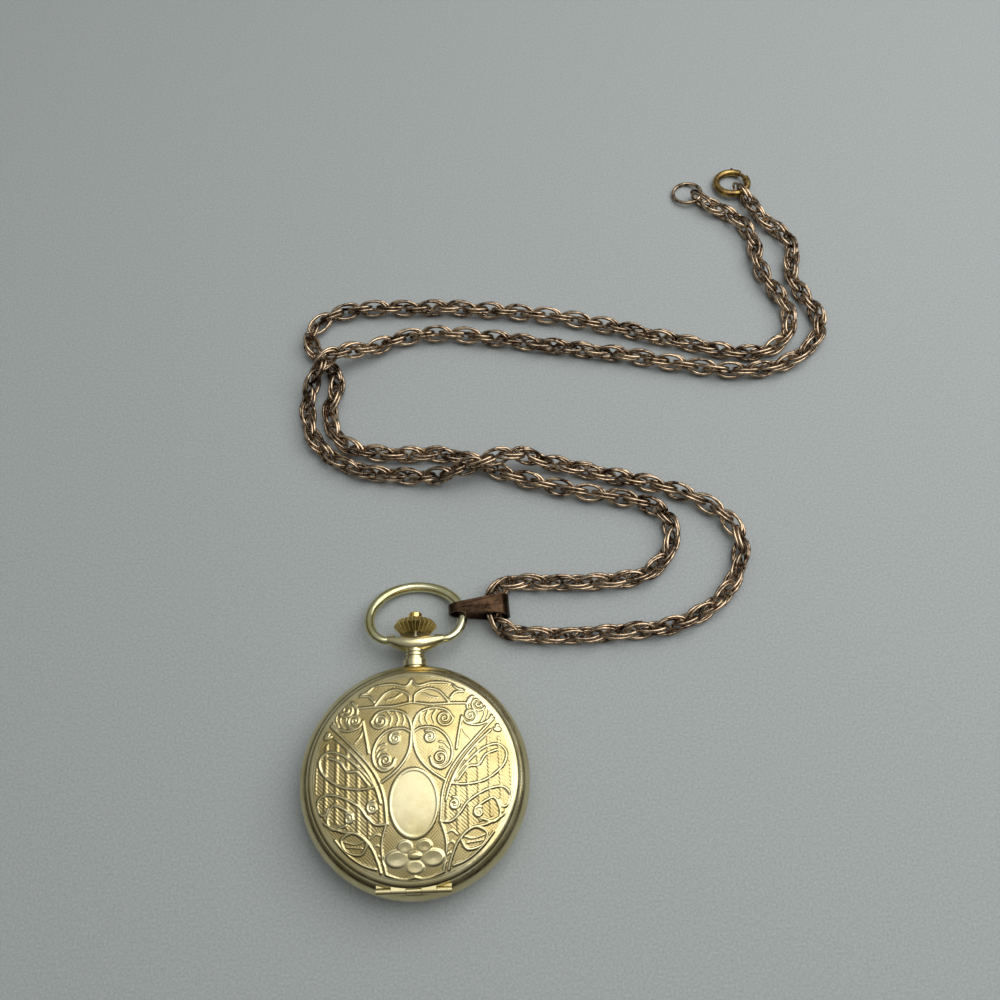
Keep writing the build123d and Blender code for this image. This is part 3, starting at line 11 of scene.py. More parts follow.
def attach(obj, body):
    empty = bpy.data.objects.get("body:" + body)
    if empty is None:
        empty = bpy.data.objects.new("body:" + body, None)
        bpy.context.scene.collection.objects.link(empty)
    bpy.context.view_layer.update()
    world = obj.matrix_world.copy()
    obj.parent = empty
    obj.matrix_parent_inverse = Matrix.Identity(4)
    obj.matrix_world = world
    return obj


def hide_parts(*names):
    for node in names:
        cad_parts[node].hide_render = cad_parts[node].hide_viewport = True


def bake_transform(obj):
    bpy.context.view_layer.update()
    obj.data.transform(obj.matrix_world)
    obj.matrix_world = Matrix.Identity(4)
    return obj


# Pendant watch on a double-link chain: everything is in metres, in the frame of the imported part

mm = 0.001
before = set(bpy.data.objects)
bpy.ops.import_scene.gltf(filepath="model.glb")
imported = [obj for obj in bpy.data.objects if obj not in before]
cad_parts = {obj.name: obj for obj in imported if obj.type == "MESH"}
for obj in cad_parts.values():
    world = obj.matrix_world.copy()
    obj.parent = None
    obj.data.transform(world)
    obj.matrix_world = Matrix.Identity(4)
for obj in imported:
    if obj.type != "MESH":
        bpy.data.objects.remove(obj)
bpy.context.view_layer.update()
print("frame loaded,", len(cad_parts), "nodes")

# The camera and the chain's points are given in the photo's directions. This turns them about the case's
# centre to the watch's own, as in the part
layTurn = math.radians(-2.0)


def laid(point):
    x, y, z = point
    return (x * math.cos(layTurn) - y * math.sin(layTurn), x * math.sin(layTurn) + y * math.cos(layTurn), z)


camera = {
    "place": (17.7, -35.75, 220.2),  # mm, above the table and a little towards the viewer
    "tilt": 25.0,                    # degrees off straight down
    "lens": 36.07,
    "sensor": 36.0,
    "near": 0.01,                    # m
    "far": 10,
}
cameraData = bpy.data.cameras.new("camera")
cameraData.lens = camera["lens"]
cameraData.sensor_width = camera["sensor"]
cameraData.clip_start = camera["near"]
cameraData.clip_end = camera["far"]
cameraObject = bpy.data.objects.new("camera", cameraData)
cameraObject.location = Vector(laid(camera["place"])) * mm
cameraObject.rotation_euler = (math.radians(camera["tilt"]), 0, layTurn)
bpy.context.scene.collection.objects.link(cameraObject)
bpy.context.scene.camera = cameraObject


def toLinear(hexText):  # by the sRGB curve
    values = [int(hexText[i:i + 2], 16) / 255 for i in (1, 3, 5)]
    return tuple(v / 12.92 if v <= 0.04045 else ((v + 0.055) / 1.055) ** 2.4 for v in values) + (1.0,)


def addNode(tree, kind, inputs=None, **settings):
    node = tree.nodes.new(kind)
    for key, value in settings.items():
        setattr(node, key, value)
    for key, value in (inputs or {}).items():
        if isinstance(value, bpy.types.NodeSocket):
            tree.links.new(value, node.inputs[key])
        else:
            node.inputs[key].default_value = value
    return node


def setRamp(node, stops):
    ramp = node.color_ramp
    while len(ramp.elements) < len(stops):
        ramp.elements.new(0.5)
    for element, (place, colour) in zip(ramp.elements, stops):
        element.position = place
        element.color = colour


def newMaterial(name):
    material = bpy.data.materials.new(name)
    material.use_nodes = True
    tree = material.node_tree
    tree.nodes.clear()
    output = addNode(tree, "ShaderNodeOutputMaterial")
    shader = addNode(tree, "ShaderNodeBsdfPrincipled")
    tree.links.new(shader.outputs[0], output.inputs[0])
    return material, tree, shader


# Metals. Each is a base colour, a second tone in soft patches, and fine scratches left by wear
metals = {
    "rolledGoldPlate": {          # pale greenish gold plate, polished, then worn in a pocket
        "colour": "#DBD0A6", "patch": "#C6B784", "patchMm": 9.0,
        "rough": (0.17, 0.3), "scratchMm": 0.25, "bump": 0.006},
    "brightGoldPlate": {          # crown: yellower, brighter
        "colour": "#EFD68A", "patch": "#D8B862", "patchMm": 2.5,
        "rough": (0.14, 0.26), "scratchMm": 0.25, "bump": 0.006},
    "paleGoldWire": {             # bow: drawn wire, polished, greenish
        "colour": "#DEDAB4", "patch": "#C4BC86", "patchMm": 6.0,
        "rough": (0.14, 0.26), "scratchMm": 0.2, "bump": 0.006},
    "tarnishAndShadeRoseBronze": {      # chain links: drawn wire, brown tarnish with pink where rubbed; the near-black patch tone is partly tarnish and partly painted shade for the shadow between the links, laid in random patches
        "colour": "#D4BA9B", "patch": "#3A271C", "patchMm": 1.8,
        "rough": (0.12, 0.24), "scratchMm": 0.2, "bump": 0.008},
    "darkTarnishedBrass": {       # bail: folded sheet, nearly black brown
        "colour": "#4A3829", "patch": "#1F1610", "patchMm": 2.0,
        "rough": (0.24, 0.42), "scratchMm": 0.3, "bump": 0.02},
    "wornYellowBrass": {          # spring ring
        "colour": "#BFA262", "patch": "#6A4E30", "patchMm": 2.2,
        "rough": (0.2, 0.4), "scratchMm": 0.2, "bump": 0.02},
    "giltBrass": {                # movement plates: grained and gilt
        "colour": "#DDBE74", "patch": "#C9A65C", "patchMm": 4.0,
        "rough": (0.3, 0.42), "scratchMm": 0.12, "bump": 0.02},
    "polishedSteel": {            # arbors, wheels and springs
        "colour": "#C9CBCE", "patch": "#A9ADB3", "patchMm": 3.0,
        "rough": (0.16, 0.3), "scratchMm": 0.15, "bump": 0.01},
    "bluedSteel": {               # hands and screws, heat blued
        "colour": "#2C4696", "patch": "#1C2C63", "patchMm": 3.0,
        "rough": (0.16, 0.28), "scratchMm": 0.15, "bump": 0.008},
}
# What the metals share. Edges are noise values, from where a tone starts to where it is full
metalGrain = {
    "patchEdges": (0.38, 0.66), "patchDetail": 4.0, "patchRoughness": 0.6,
    "fineShare": 0.3,                # gloss changes at this share of the patches' size
    "fineEdges": (0.3, 0.7), "fineDetail": 3.0,
    "brushTurn": (0.3, 0.2, 0.7),    # radians, so that scratches run askew
    "brushStretch": (1.0, 0.08, 1.0), "brushDetail": 2.0, "bumpStrength": 0.35,
    "sunkTint": "#B8A56C",
}


def makeMetal(name, spec, toneAttribute=None, reliefAttribute=None):
    material, tree, shader = newMaterial(name)
    place = addNode(tree, "ShaderNodeTexCoord").outputs["Object"]
    patches = addNode(tree, "ShaderNodeTexNoise", {
        "Vector": place, "Scale": 1 / (spec["patchMm"] * mm),
        "Detail": metalGrain["patchDetail"], "Roughness": metalGrain["patchRoughness"]})
    patchLow, patchHigh = metalGrain["patchEdges"]
    spread = addNode(tree, "ShaderNodeMapRange", {
        "Value": patches.outputs["Fac"], "From Min": patchLow, "From Max": patchHigh})
    share = spread.outputs[0]
    if toneAttribute:
        tone = addNode(tree, "ShaderNodeAttribute", attribute_name=toneAttribute)
        both = addNode(
            tree, "ShaderNodeMath", {0: share, 1: tone.outputs["Fac"]}, operation="ADD", use_clamp=True)
        share = both.outputs[0]
    mix = addNode(tree, "ShaderNodeMix", {"Factor": share}, data_type="RGBA")
    mix.inputs[6].default_value = toLinear(spec["colour"])
    mix.inputs[7].default_value = toLinear(spec["patch"])
    colour = mix.outputs[2]
    if reliefAttribute:  # the sunk ground between the raised lines is tinted darker
        depth = addNode(tree, "ShaderNodeAttribute", attribute_name=reliefAttribute)
        sunkTint = addNode(
            tree, "ShaderNodeMix", {"Factor": depth.outputs["Fac"]}, data_type="RGBA", blend_type="MULTIPLY")
        tree.links.new(colour, sunkTint.inputs[6])
        sunkTint.inputs[7].default_value = toLinear(metalGrain["sunkTint"])
        colour = sunkTint.outputs[2]
    tree.links.new(colour, shader.inputs["Base Color"])
    low, high = spec["rough"]
    fine = addNode(tree, "ShaderNodeTexNoise", {
        "Vector": place, "Scale": 1 / (spec["patchMm"] * metalGrain["fineShare"] * mm),
        "Detail": metalGrain["fineDetail"]})
    fineLow, fineHigh = metalGrain["fineEdges"]
    rough = addNode(tree, "ShaderNodeMapRange", {
        "Value": fine.outputs["Fac"], "From Min": fineLow, "From Max": fineHigh, "To Min": low, "To Max": high})
    tree.links.new(rough.outputs[0], shader.inputs["Roughness"])
    turned = addNode(tree, "ShaderNodeMapping", {
        "Vector": place, "Rotation": metalGrain["brushTurn"], "Scale": metalGrain["brushStretch"]})
    scratch = addNode(tree, "ShaderNodeTexNoise", {
        "Vector": turned.outputs[0], "Scale": 1 / (spec["scratchMm"] * mm),
        "Detail": metalGrain["brushDetail"]})
    bump = addNode(tree, "ShaderNodeBump", {
        "Height": scratch.outputs["Fac"], "Strength": metalGrain["bumpStrength"],
        "Distance": spec["bump"] * mm})
    tree.links.new(bump.outputs[0], shader.inputs["Normal"])
    shader.inputs["Metallic"].default_value = 1.0
    return material


materials = {name: makeMetal(name, spec) for name, spec in metals.items()}
# the chain's dark patches are partly tarnish and partly painted shade between the links
materials["chainBronze"] = makeMetal("chainBronze", metals["tarnishAndShadeRoseBronze"], toneAttribute="tone")
materials["stampedGold"] = makeMetal("stampedGold", metals["rolledGoldPlate"], reliefAttribute="sunkTint")

enamel = {
    "light": "#F3EFE3", "warm": "#EAE4D2", "cloudMm": 7, "edges": (0.35, 0.7), "detail": 3.0, "rough": 0.22,
}
ink = {"dark": "#14120F", "light": "#26221D", "grainMm": 0.4, "edges": (0.3, 0.8), "rough": 0.5}
haze = {"spotMm": 3, "detail": 4.0, "edges": (0.4, 0.8), "roughAdded": 0.05}  # in glass and ruby


def makeEnamel():  # fired white dial: smooth, faint warmth, glossy
    material, tree, shader = newMaterial("firedEnamel")
    place = addNode(tree, "ShaderNodeTexCoord").outputs["Object"]
    cloud = addNode(tree, "ShaderNodeTexNoise", {
        "Vector": place, "Scale": 1 / (enamel["cloudMm"] * mm), "Detail": enamel["detail"]})
    ramp = addNode(tree, "ShaderNodeValToRGB", {"Fac": cloud.outputs["Fac"]})
    low, high = enamel["edges"]
    setRamp(ramp, [(low, toLinear(enamel["light"])), (high, toLinear(enamel["warm"]))])
    tree.links.new(ramp.outputs[0], shader.inputs["Base Color"])
    shader.inputs["Roughness"].default_value = enamel["rough"]
    return material


def makeInk():
    material, tree, shader = newMaterial("blackDialInk")
    place = addNode(tree, "ShaderNodeTexCoord").outputs["Object"]
    grain = addNode(tree, "ShaderNodeTexNoise", {"Vector": place, "Scale": 1 / (ink["grainMm"] * mm)})
    ramp = addNode(tree, "ShaderNodeValToRGB", {"Fac": grain.outputs["Fac"]})
    low, high = ink["edges"]
    setRamp(ramp, [(low, toLinear(ink["dark"])), (high, toLinear(ink["light"]))])
    tree.links.new(ramp.outputs[0], shader.inputs["Base Color"])
    shader.inputs["Roughness"].default_value = ink["rough"]
    return material


def makeClear(name, colour, ior, rough):
    material, tree, shader = newMaterial(name)
    place = addNode(tree, "ShaderNodeTexCoord").outputs["Object"]
    spots = addNode(tree, "ShaderNodeTexNoise", {
        "Vector": place, "Scale": 1 / (haze["spotMm"] * mm), "Detail": haze["detail"]})
    low, high = haze["edges"]
    spread = addNode(tree, "ShaderNodeMapRange", {
        "Value": spots.outputs["Fac"], "From Min": low, "From Max": high,
        "To Min": rough, "To Max": rough + haze["roughAdded"]})
    tree.links.new(spread.outputs[0], shader.inputs["Roughness"])
    shader.inputs["Base Color"].default_value = toLinear(colour)
    shader.inputs["Transmission Weight"].default_value = 1.0
    shader.inputs["IOR"].default_value = ior
    return material


materials["firedEnamel"] = makeEnamel()
materials["blackDialInk"] = makeInk()
materials["mineralCrystal"] = makeClear("mineralCrystal", "#FBFDFC", 1.5, 0.01)
materials["redRuby"] = makeClear("redRuby", "#C0203C", 1.76, 0.03)

nodeMaterials = {
    "rolledGoldPlate": [
        "case_band", "front_lid", "back_cover", "lid_hinge_pin", "bezel_ring", "pendant"],
    "brightGoldPlate": ["crown"],
    "paleGoldWire": ["bow"],
    "darkTarnishedBrass": ["bail"],
    "tarnishAndShadeRoseBronze": ["jump_ring", "chain_upper", "chain_lower"],
    "wornYellowBrass": ["clasp_body", "clasp_lever"],
    "giltBrass": ["main_plate", "movement_ring", "barrel_bridge", "train_bridge", "balance_cock",
                  "pallet_bridge", "barrel", "centre_wheel", "third_wheel", "fourth_wheel", "balance_wheel",
                  "minute_wheel", "hour_wheel"],
    "polishedSteel": ["lid_lift_spring", "lid_catch_spring", "pendant_sleeve", "mainspring", "ratchet_wheel",
                      "crown_wheel", "click", "click_spring", "escape_wheel", "pallet_fork", "winding_stem",
                      "sliding_clutch", "winding_pinion", "setting_lever", "cannon_pinion", "clasp_spring"],
    "bluedSteel": ["case_screws", "bridge_screws", "hairspring", "hour_hand", "minute_hand", "second_hand"],
    "firedEnamel": ["dial"],
    "mineralCrystal": ["crystal"],
    "redRuby": ["jewels"],
}
sharpEdge = math.radians(28)
weldGap = 0.00001    # m


def smoothNode(piece):  # a CAD node is loose triangles: weld them live, shade smooth across gentle edges
    weld = piece.modifiers.new("weld", "WELD")
    weld.merge_threshold = weldGap
    for face in piece.data.polygons:
        face.use_smooth = True
    split = piece.modifiers.new("edges", "EDGE_SPLIT")
    split.split_angle = sharpEdge


for materialName, nodeNames in nodeMaterials.items():
    for nodeName in nodeNames:
        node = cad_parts[nodeName]
        node.data.materials.clear()
        node.data.materials.append(materials[materialName])
        smoothNode(node)
print("materials on every node")


def finishMesh(name, bm, material, smooth=True):
    mesh = bpy.data.meshes.new(name)
    bm.to_mesh(mesh)
    bm.free()
    piece = bpy.data.objects.new(name, mesh)
    bpy.context.scene.collection.objects.link(piece)
    mesh.materials.append(material)
    for face in mesh.polygons:
        face.use_smooth = smooth
    return piece


# Chain. Both routes start in the bail. These are the same points as the part's
upperRoute = [
    (16.2, 38.2, 3.05), (15.8, 41.6, 2.8), (17.6, 44.3, 2.3), (21.6, 45.2, 2.3),
    (26.1, 44.7, 2.3), (35.0, 44.8, 2.3), (43.8, 45.2, 2.3), (48.3, 45.7, 2.3),
    (52.4, 47.3, 2.3), (55.8, 50.2, 2.3), (58.3, 54.3, 2.3), (58.8, 58.8, 2.3),
    (56.6, 63.0, 2.3), (52.4, 65.6, 2.3), (44.9, 66.9, 2.3), (35.8, 68.4, 2.3),
    (26.5, 70.6, 2.3), (21.9, 72.1, 2.3), (17.3, 73.7, 2.3), (13.2, 75.4, 2.3),
    (8.5, 77.4, 2.3), (2.1, 78.5, 2.3), (-4.2, 78.0, 2.3), (-10.6, 78.4, 2.3),
    (-16.5, 78.8, 2.3), (-21.2, 81.2, 2.3), (-24.4, 85.8, 2.3), (-25.2, 91.0, 2.3),
    (-23.4, 96.4, 2.3), (-23.6, 100.9, 2.3), (-27.2, 104.6, 2.3), (-30.8, 108.4, 2.3),
    (-31.9, 113.0, 2.3), (-29.2, 117.6, 2.3), (-23.9, 120.4, 2.3), (-17.0, 121.7, 2.3),
    (-8.0, 121.5, 2.3), (2.0, 121.9, 2.3), (12.0, 121.3, 2.3), (24.5, 120.2, 2.3),
    (36.5, 118.4, 2.3), (48.4, 115.5, 2.3), (60.2, 112.3, 2.3), (70.0, 109.8, 2.3),
    (77.6, 107.6, 2.3), (84.3, 107.6, 2.3), (90.0, 110.2, 2.3), (93.4, 114.8, 2.3),
    (94.0, 119.8, 2.3), (91.8, 125.7, 2.3), (88.6, 131.7, 2.3), (86.8, 137.3, 2.3),
    (87.2, 142.5, 2.3), (86.1, 147.4, 2.3), (83.3, 151.5, 2.3), (79.2, 154.4, 2.3),
    (75.6, 156.6, 2.3), (72.5, 159.5, 2.3),
]
lowerRoute = [
    (16.2, 38.2, 3.05), (16.3, 35.2, 2.8), (18.8, 33.0, 2.3), (23.8, 32.4, 2.3),
    (30.0, 31.8, 2.3), (36.7, 32.2, 2.3), (45.4, 33.0, 2.3), (53.8, 33.8, 2.3),
    (59.2, 35.0, 2.3), (63.5, 37.3, 2.3), (67.9, 40.3, 2.3), (71.5, 44.5, 2.3),
    (73.9, 49.9, 2.3), (74.7, 55.3, 2.3), (73.0, 60.3, 2.3), (68.4, 64.7, 2.3),
    (60.4, 68.6, 2.3), (54.0, 70.4, 2.3), (46.5, 72.0, 2.3), (37.3, 74.1, 2.3),
    (28.7, 75.9, 2.9), (23.5, 76.6, 5.6), (18.7, 75.9, 6.9), (14.0, 74.5, 6.9),
    (9.0, 72.9, 5.8), (3.8, 71.8, 3.2), (-4.0, 72.1, 2.3), (-12.4, 72.8, 2.3),
    (-18.5, 74.3, 2.3), (-24.6, 77.8, 2.3), (-28.8, 82.6, 2.3), (-30.5, 88.5, 2.3),
    (-30.4, 94.5, 2.6), (-28.8, 100.2, 5.6), (-25.6, 104.1, 6.9), (-20.8, 106.0, 6.2),
    (-15.6, 108.2, 3.3), (-9.6, 111.6, 2.3), (-3.3, 113.5, 2.3), (4.0, 113.7, 2.3),
    (14.0, 112.6, 2.3), (24.4, 110.9, 2.3), (36.2, 109.0, 2.3), (48.0, 107.5, 2.3),
    (59.7, 105.2, 2.3), (71.3, 103.1, 2.3), (80.0, 102.1, 2.3), (87.5, 103.2, 2.3),
    (94.2, 106.2, 2.3), (99.2, 110.9, 2.3), (101.6, 116.4, 2.3), (100.8, 121.8, 2.3),
    (96.8, 127.8, 2.3), (95.2, 133.2, 2.3), (96.8, 138.2, 2.3), (97.4, 143.2, 2.3),
    (94.2, 147.6, 2.3), (90.2, 151.2, 2.3), (88.0, 155.6, 2.3), (86.6, 159.2, 2.3),
    (84.7, 162.3, 2.3),
]
chain = {
    "wire": 0.76,         # mm, round wire
    "halfLength": 3.45,   # to the wire's centre, longer than in the solids, as the photo shows
    "halfWidth": 1.87,
    "pairOffset": 0.42,   # each place holds two links side by side
    "stagger": 0.4,       # one of the two a little ahead of the other
    "pitch": 3.8,
    "wireSides": 6,
    "ringSteps": 16,
    "startPairs": 4,      # these are made as a piece of their own
    "across": 0.005,      # m, the whole chain's width
    "toneSpread": 0.25,   # how much one link is darker than another
    "twist": 45,          # degrees, how the first pair leans, and how that wanders along the chain
    "twistWaves": ((12, 0.37), (8, 0.11)),
    "twistEase": 8,       # over the last links the lean turns to fit the ring
    "cutGap": 0.0001,     # m, the line goes on this far past the cut
    "resolution": 10,
    "seed": 7,
}


def routeLine(name, points):
    curve = bpy.data.curves.new(name, "CURVE")
    curve.dimensions = "3D"
    curve.resolution_u = chain["resolution"]
    spline = curve.splines.new("NURBS")
    spline.points.add(len(points) - 1)
    for knot, point in zip(spline.points, points):
        knot.co = (*[v * mm for v in point], 1.0)
    spline.order_u = 3
    spline.use_endpoint_u = True
    holder = bpy.data.objects.new(name, curve)
    bpy.context.scene.collection.objects.link(holder)
    bpy.context.view_layer.update()
    mesh = bpy.data.meshes.new_from_object(holder)
    line = np.array([v.co for v in mesh.vertices], float)
    bpy.data.objects.remove(holder)
    bpy.data.meshes.remove(mesh)
    return line


def lengthsAlong(line):
    return np.concatenate([[0], np.cumsum(np.linalg.norm(np.diff(line, axis=0), axis=1))])


def pointAt(line, along, distance):
    return Vector([np.interp(distance, along, line[:, axis]) for axis in range(3)])


def makeLinkMesh():
    bm = bmesh.new()
    ring = bmesh.ops.create_circle(bm, segments=chain["wireSides"], radius=chain["wire"] / 2 * mm)["verts"]
    bmesh.ops.rotate(bm, verts=ring, cent=(0, 0, 0), matrix=Matrix.Rotation(math.pi / 2, 3, "X"))
    bmesh.ops.translate(bm, verts=ring, vec=(chain["halfWidth"] * mm, 0, 0))
    bmesh.ops.spin(
        bm, geom=bm.verts[:] + bm.edges[:], cent=(0, 0, 0), axis=(0, 0, 1),
        angle=2 * math.pi, steps=chain["ringSteps"], use_merge=True)
    bmesh.ops.remove_doubles(bm, verts=bm.verts, dist=weldGap)
    stretch = (chain["halfLength"] - chain["halfWidth"]) * mm
    for vert in bm.verts:  # lengthen the ring to an oval without flattening its wire
        flat = math.hypot(vert.co.x, vert.co.y)
        vert.co.x += stretch * vert.co.x / flat
    bmesh.ops.recalc_face_normals(bm, faces=bm.faces)
    mesh = bpy.data.meshes.new("link")
    bm.to_mesh(mesh)
    bm.free()
    return mesh


def linkTwist(number, count):
    wander = chain["twist"]
    for size, rate in chain["twistWaves"]:
        wander += size * math.sin(number * rate)
    left = count - 1 - number
    ease = chain["twistEase"]
    if left < ease:
        target = 0 if (count - 1) % 2 == 0 else 90
        wander += (target - wander) * (1 - left / ease)
    return wander + 90 * number


def makeLinks(name, line, fromPair, toPair, link, rng):
    along = lengthsAlong(line)
    count = round(along[-1] / (chain["pitch"] * mm))
    bm = bmesh.new()
    toneLayer = bm.verts.layers.float.new("tone")
    for number in range(count):
        jitter = [rng.uniform(-1, 1) for _ in range(4)]  # the last two tint the pair
        if not fromPair <= number < (toPair or count):
            continue
        start = pointAt(line, along, along[-1] * number / count)
        end = pointAt(line, along, along[-1] * (number + 1) / count)
        forward = (end - start).normalized()
        side = Vector((0, 0, 1)).cross(forward).normalized()
        rise = forward.cross(side)
        turn = math.radians(linkTwist(number, count))
        normal = side * math.cos(turn) + rise * math.sin(turn)
        across = normal.cross(forward)
        apart = normal * chain["pairOffset"] + forward * chain["stagger"]
        for sign in (-1, 1):
            place = Matrix((forward, across, normal)).transposed().to_4x4()
            place.translation = (start + end) / 2 + apart * (sign * mm)
            known = len(bm.verts)
            bm.from_mesh(link)
            bm.verts.ensure_lookup_table()
            fresh = bm.verts[known:]
            bmesh.ops.transform(bm, matrix=place, verts=fresh)
            tone = chain["toneSpread"] * jitter[2 if sign > 0 else 3]
            for vert in fresh:
                vert[toneLayer] = tone
    piece = finishMesh(name, bm, materials["chainBronze"])
    return piece, count, along


linkMesh = makeLinkMesh()
lines = {
    "chain_upper": routeLine("upperLine", [laid(point) for point in upperRoute]),
    "chain_lower": routeLine("lowerLine", [laid(point) for point in lowerRoute]),
}
# Each half is built as links along its route line, the first pairs as a piece of their own, and the part's
# chain node is hidden
for number, (nodeName, line) in enumerate(lines.items()):
    pieceName = "chainLinksUpper" if nodeName == "chain_upper" else "chainLinksLower"
    rng = Random(chain["seed"] + number)  # both pieces draw the same numbers, each for its own links
    startPiece, count, along = makeLinks(
        pieceName + "Start", line, 0, chain["startPairs"], linkMesh, rng)
    rng = Random(chain["seed"] + number)
    mainPiece, count, along = makeLinks(
        pieceName, line, chain["startPairs"], None, linkMesh, rng)
    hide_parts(nodeName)
    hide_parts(nodeName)
    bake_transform(startPiece)
    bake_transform(mainPiece)
    print(pieceName, count, "pairs,", round(float(along[-1]) * 1000, 1), "mm")

# Engraved lid: a stamped relief of scrolls on the dome, raised from a hatched ground
lid = {
    "edgeRadius": 20.6,   # mm, where the dome meets the bevel
    "edgeHeight": 10.9,
    "topHeight": 12.95,
    "lift": 0.04,         # stands this much proud of the plain dome
    "grid": 286,
    "reach": 1.012,       # the ornament's share of the sizes below
    "turn": 1.0,          # degrees, the stamping sits slightly askew
    "underRings": 10,
    "edgeGap": 0.02,      # the stamped plate ends this far inside the edge
    "under": 0.12,        # and its underside lies this far below the dome
    "deepest": 0.6,       # no hollow goes deeper than this share of the lift
    "sunkTintShare": 0.55,
}
# Raised lines of one half, in mm from the lid's centre; the other half mirrors them
scrolls = [
    [(0.15, 8.4), (0.5, 5.1), (1.6, 2.5), (3.8, 0.1), (6.4, -1.7)],
    [(0.3, 8.2), (1.9, 9.0), (4.6, 8.8), (6.8, 7.2), (8.0, 4.4), (7.6, 1.9), (5.9, 0.6), (4.1, 1.3),
     (3.6, 2.8)],
    [(0.1, 8.3), (0.4, 10.3), (1.6, 12.2), (4.2, 13.0), (7.0, 12.5), (8.4, 10.7)],
    [(0.2, 14.4), (4.0, 13.8), (8.0, 13.9), (11.6, 13.8)],
    [(0.5, 14.6), (0.8, 16.2), (3.2, 17.3), (5.6, 16.6), (7.7, 14.2)],
    [(0.0, 19.4), (1.3, 18.0), (4.2, 18.6), (8.3, 18.4)],
    [(8.3, 18.4), (9.6, 17.0), (12.4, 16.8)],
    [(7.9, 15.0), (9.0, 16.2), (10.8, 16.4)],
    [(11.6, 13.8), (13.6, 16.4), (15.9, 15.2), (16.9, 12.6), (15.8, 10.2), (13.5, 9.2), (11.2, 9.6),
     (10.2, 11.0)],
    [(16.9, 10.6), (13.2, 6.8), (9.6, 2.9), (7.2, -0.6), (5.8, -4.5), (5.3, -9.4)],
    [(16.0, 8.0), (12.6, 4.9), (9.6, 1.3), (7.7, -2.0), (6.5, -5.6)],
    [(10.2, 11.0), (9.4, 7.2), (8.9, 4.4)],
    [(7.7, -2.3), (10.5, 1.1), (14.1, 4.2), (17.2, 5.1), (19.0, 3.4), (18.1, 0.7), (14.6, -1.9),
     (10.5, -2.7), (7.4, -2.4)],
    [(8.9, -1.9), (11.2, 0.7), (13.2, 1.0), (14.8, 3.0), (17.0, 3.9)],
    [(5.2, -9.6), (7.4, -9.6), (9.2, -8.1), (11.0, -5.9), (14.6, -3.9), (17.8, -3.4), (19.3, -4.8),
     (18.9, -6.8), (17.6, -7.2), (17.0, -6.0)],
    [(12.2, -7.4), (14.4, -6.0), (16.2, -5.6), (17.2, -8.4), (15.9, -10.0), (13.4, -9.4)],
    [(5.3, -9.4), (6.2, -12.5), (6.3, -15.0), (5.6, -18.8)],
    [(18.3, -8.6), (14.5, -10.4), (11.0, -11.2), (8.6, -13.5), (7.2, -16.5), (6.6, -18.6)],
    [(9.6, -12.4), (12.0, -10.9), (14.3, -12.0), (13.4, -14.2), (10.6, -15.0), (9.4, -13.6), (9.6, -12.4)],
    [(7.6, -17.8), (10.4, -16.8), (13.2, -14.8), (15.6, -12.0)],
    [(0.0, -19.6), (1.6, -20.1), (3.4, -19.8), (5.6, -18.9)],
]
# Spirals: centre, outer and inner radius, first angle and turns (minus is clockwise)
spirals = [
    (3.5, 7.0, 1.45, 0.2, 120, -1.75), (5.5, 2.7, 1.85, 0.25, 180, 1.75), (6.6, 10.8, 1.8, 0.25, 0, -1.75),
    (13.6, 13.6, 2.3, 0.25, 200, -2.2), (11.9, 11.2, 1.6, 0.2, 250, 1.8), (8.1, -6.4, 1.3, 0.25, 100, -1.6),
    (12.9, -8.2, 1.1, 0.2, 60, 1.5), (17.6, 8.6, 0.9, 0.2, 200, 1.4),
]
# Fine lines: leaf ribs inside the volutes and leaves
ribs = [
    [(14.0, 9.6), (14.9, 11.4), (14.4, 13.0)], [(15.2, 10.2), (15.8, 12.0), (15.0, 13.8)],
    [(12.6, 9.4), (13.6, 10.8), (13.6, 12.0)], [(5.0, 12.6), (4.2, 11.2), (4.6, 9.9)],
    [(3.4, 12.6), (2.8, 11.0), (3.2, 9.8)], [(1.9, 12.0), (1.6, 10.8), (1.9, 9.8)],
    [(7.4, 4.6), (6.6, 5.6), (5.4, 6.0)], [(7.2, 3.4), (6.6, 4.4), (5.6, 4.8)],
    [(9.9, -12.6), (11.6, -13.0), (13.8, -12.4)], [(10.2, -13.8), (11.8, -13.6), (13.4, -13.4)],
    [(15.0, 7.4), (11.4, 3.7), (8.6, 0.2), (6.7, -4.0)], [(9.9, 9.6), (10.6, 7.8), (11.8, 6.4)],
    [(6.0, -12.0), (7.4, -11.4), (8.6, -12.2)], [(6.3, -14.0), (7.4, -13.4), (8.2, -14.2)],
    [(6.3, -16.0), (7.0, -15.4), (7.6, -16.0)], [(2.2, 16.4), (3.6, 15.6), (5.2, 15.2)],
]
# The field of upright bars on each side
barField = [
    (9.6, 2.0), (16.2, 7.6), (19.4, 5.4), (19.8, -2.0), (18.4, -8.0), (14.0, -9.6), (9.0, -12.2), (6.0, -9.0),
    (6.8, -4.6),
]
cartouche = {
    "centre": (0.1, -5.85), "half": (4.6, 6.35), "rim": 0.45, "rimOut": 0.1,
    "height": 0.12, "slope": 0.3,
}
flower = {
    "centre": (0.1, -15.7), "heart": (1.45, 0.8), "heartHeight": 0.3, "height": 0.26,
    "petals": [(3.5, -0.5, 2.6, 1.8), (1.9, 1.7, 1.7, 1.35), (0.0, -2.1, 2.0, 1.4)],  # x, y, half sizes
    "slope": 0.3,
    "innerHeight": (0.35, 0.65),     # share near the heart, and what is added further out
    "innerReach": (1.0, 5.0),
    "cup": (0.55, 0.45),             # share at a petal's middle, and what its edge adds
    "quiet": (1.1, 0.15),            # the ground is plain up to this share of a petal, then fades in
}
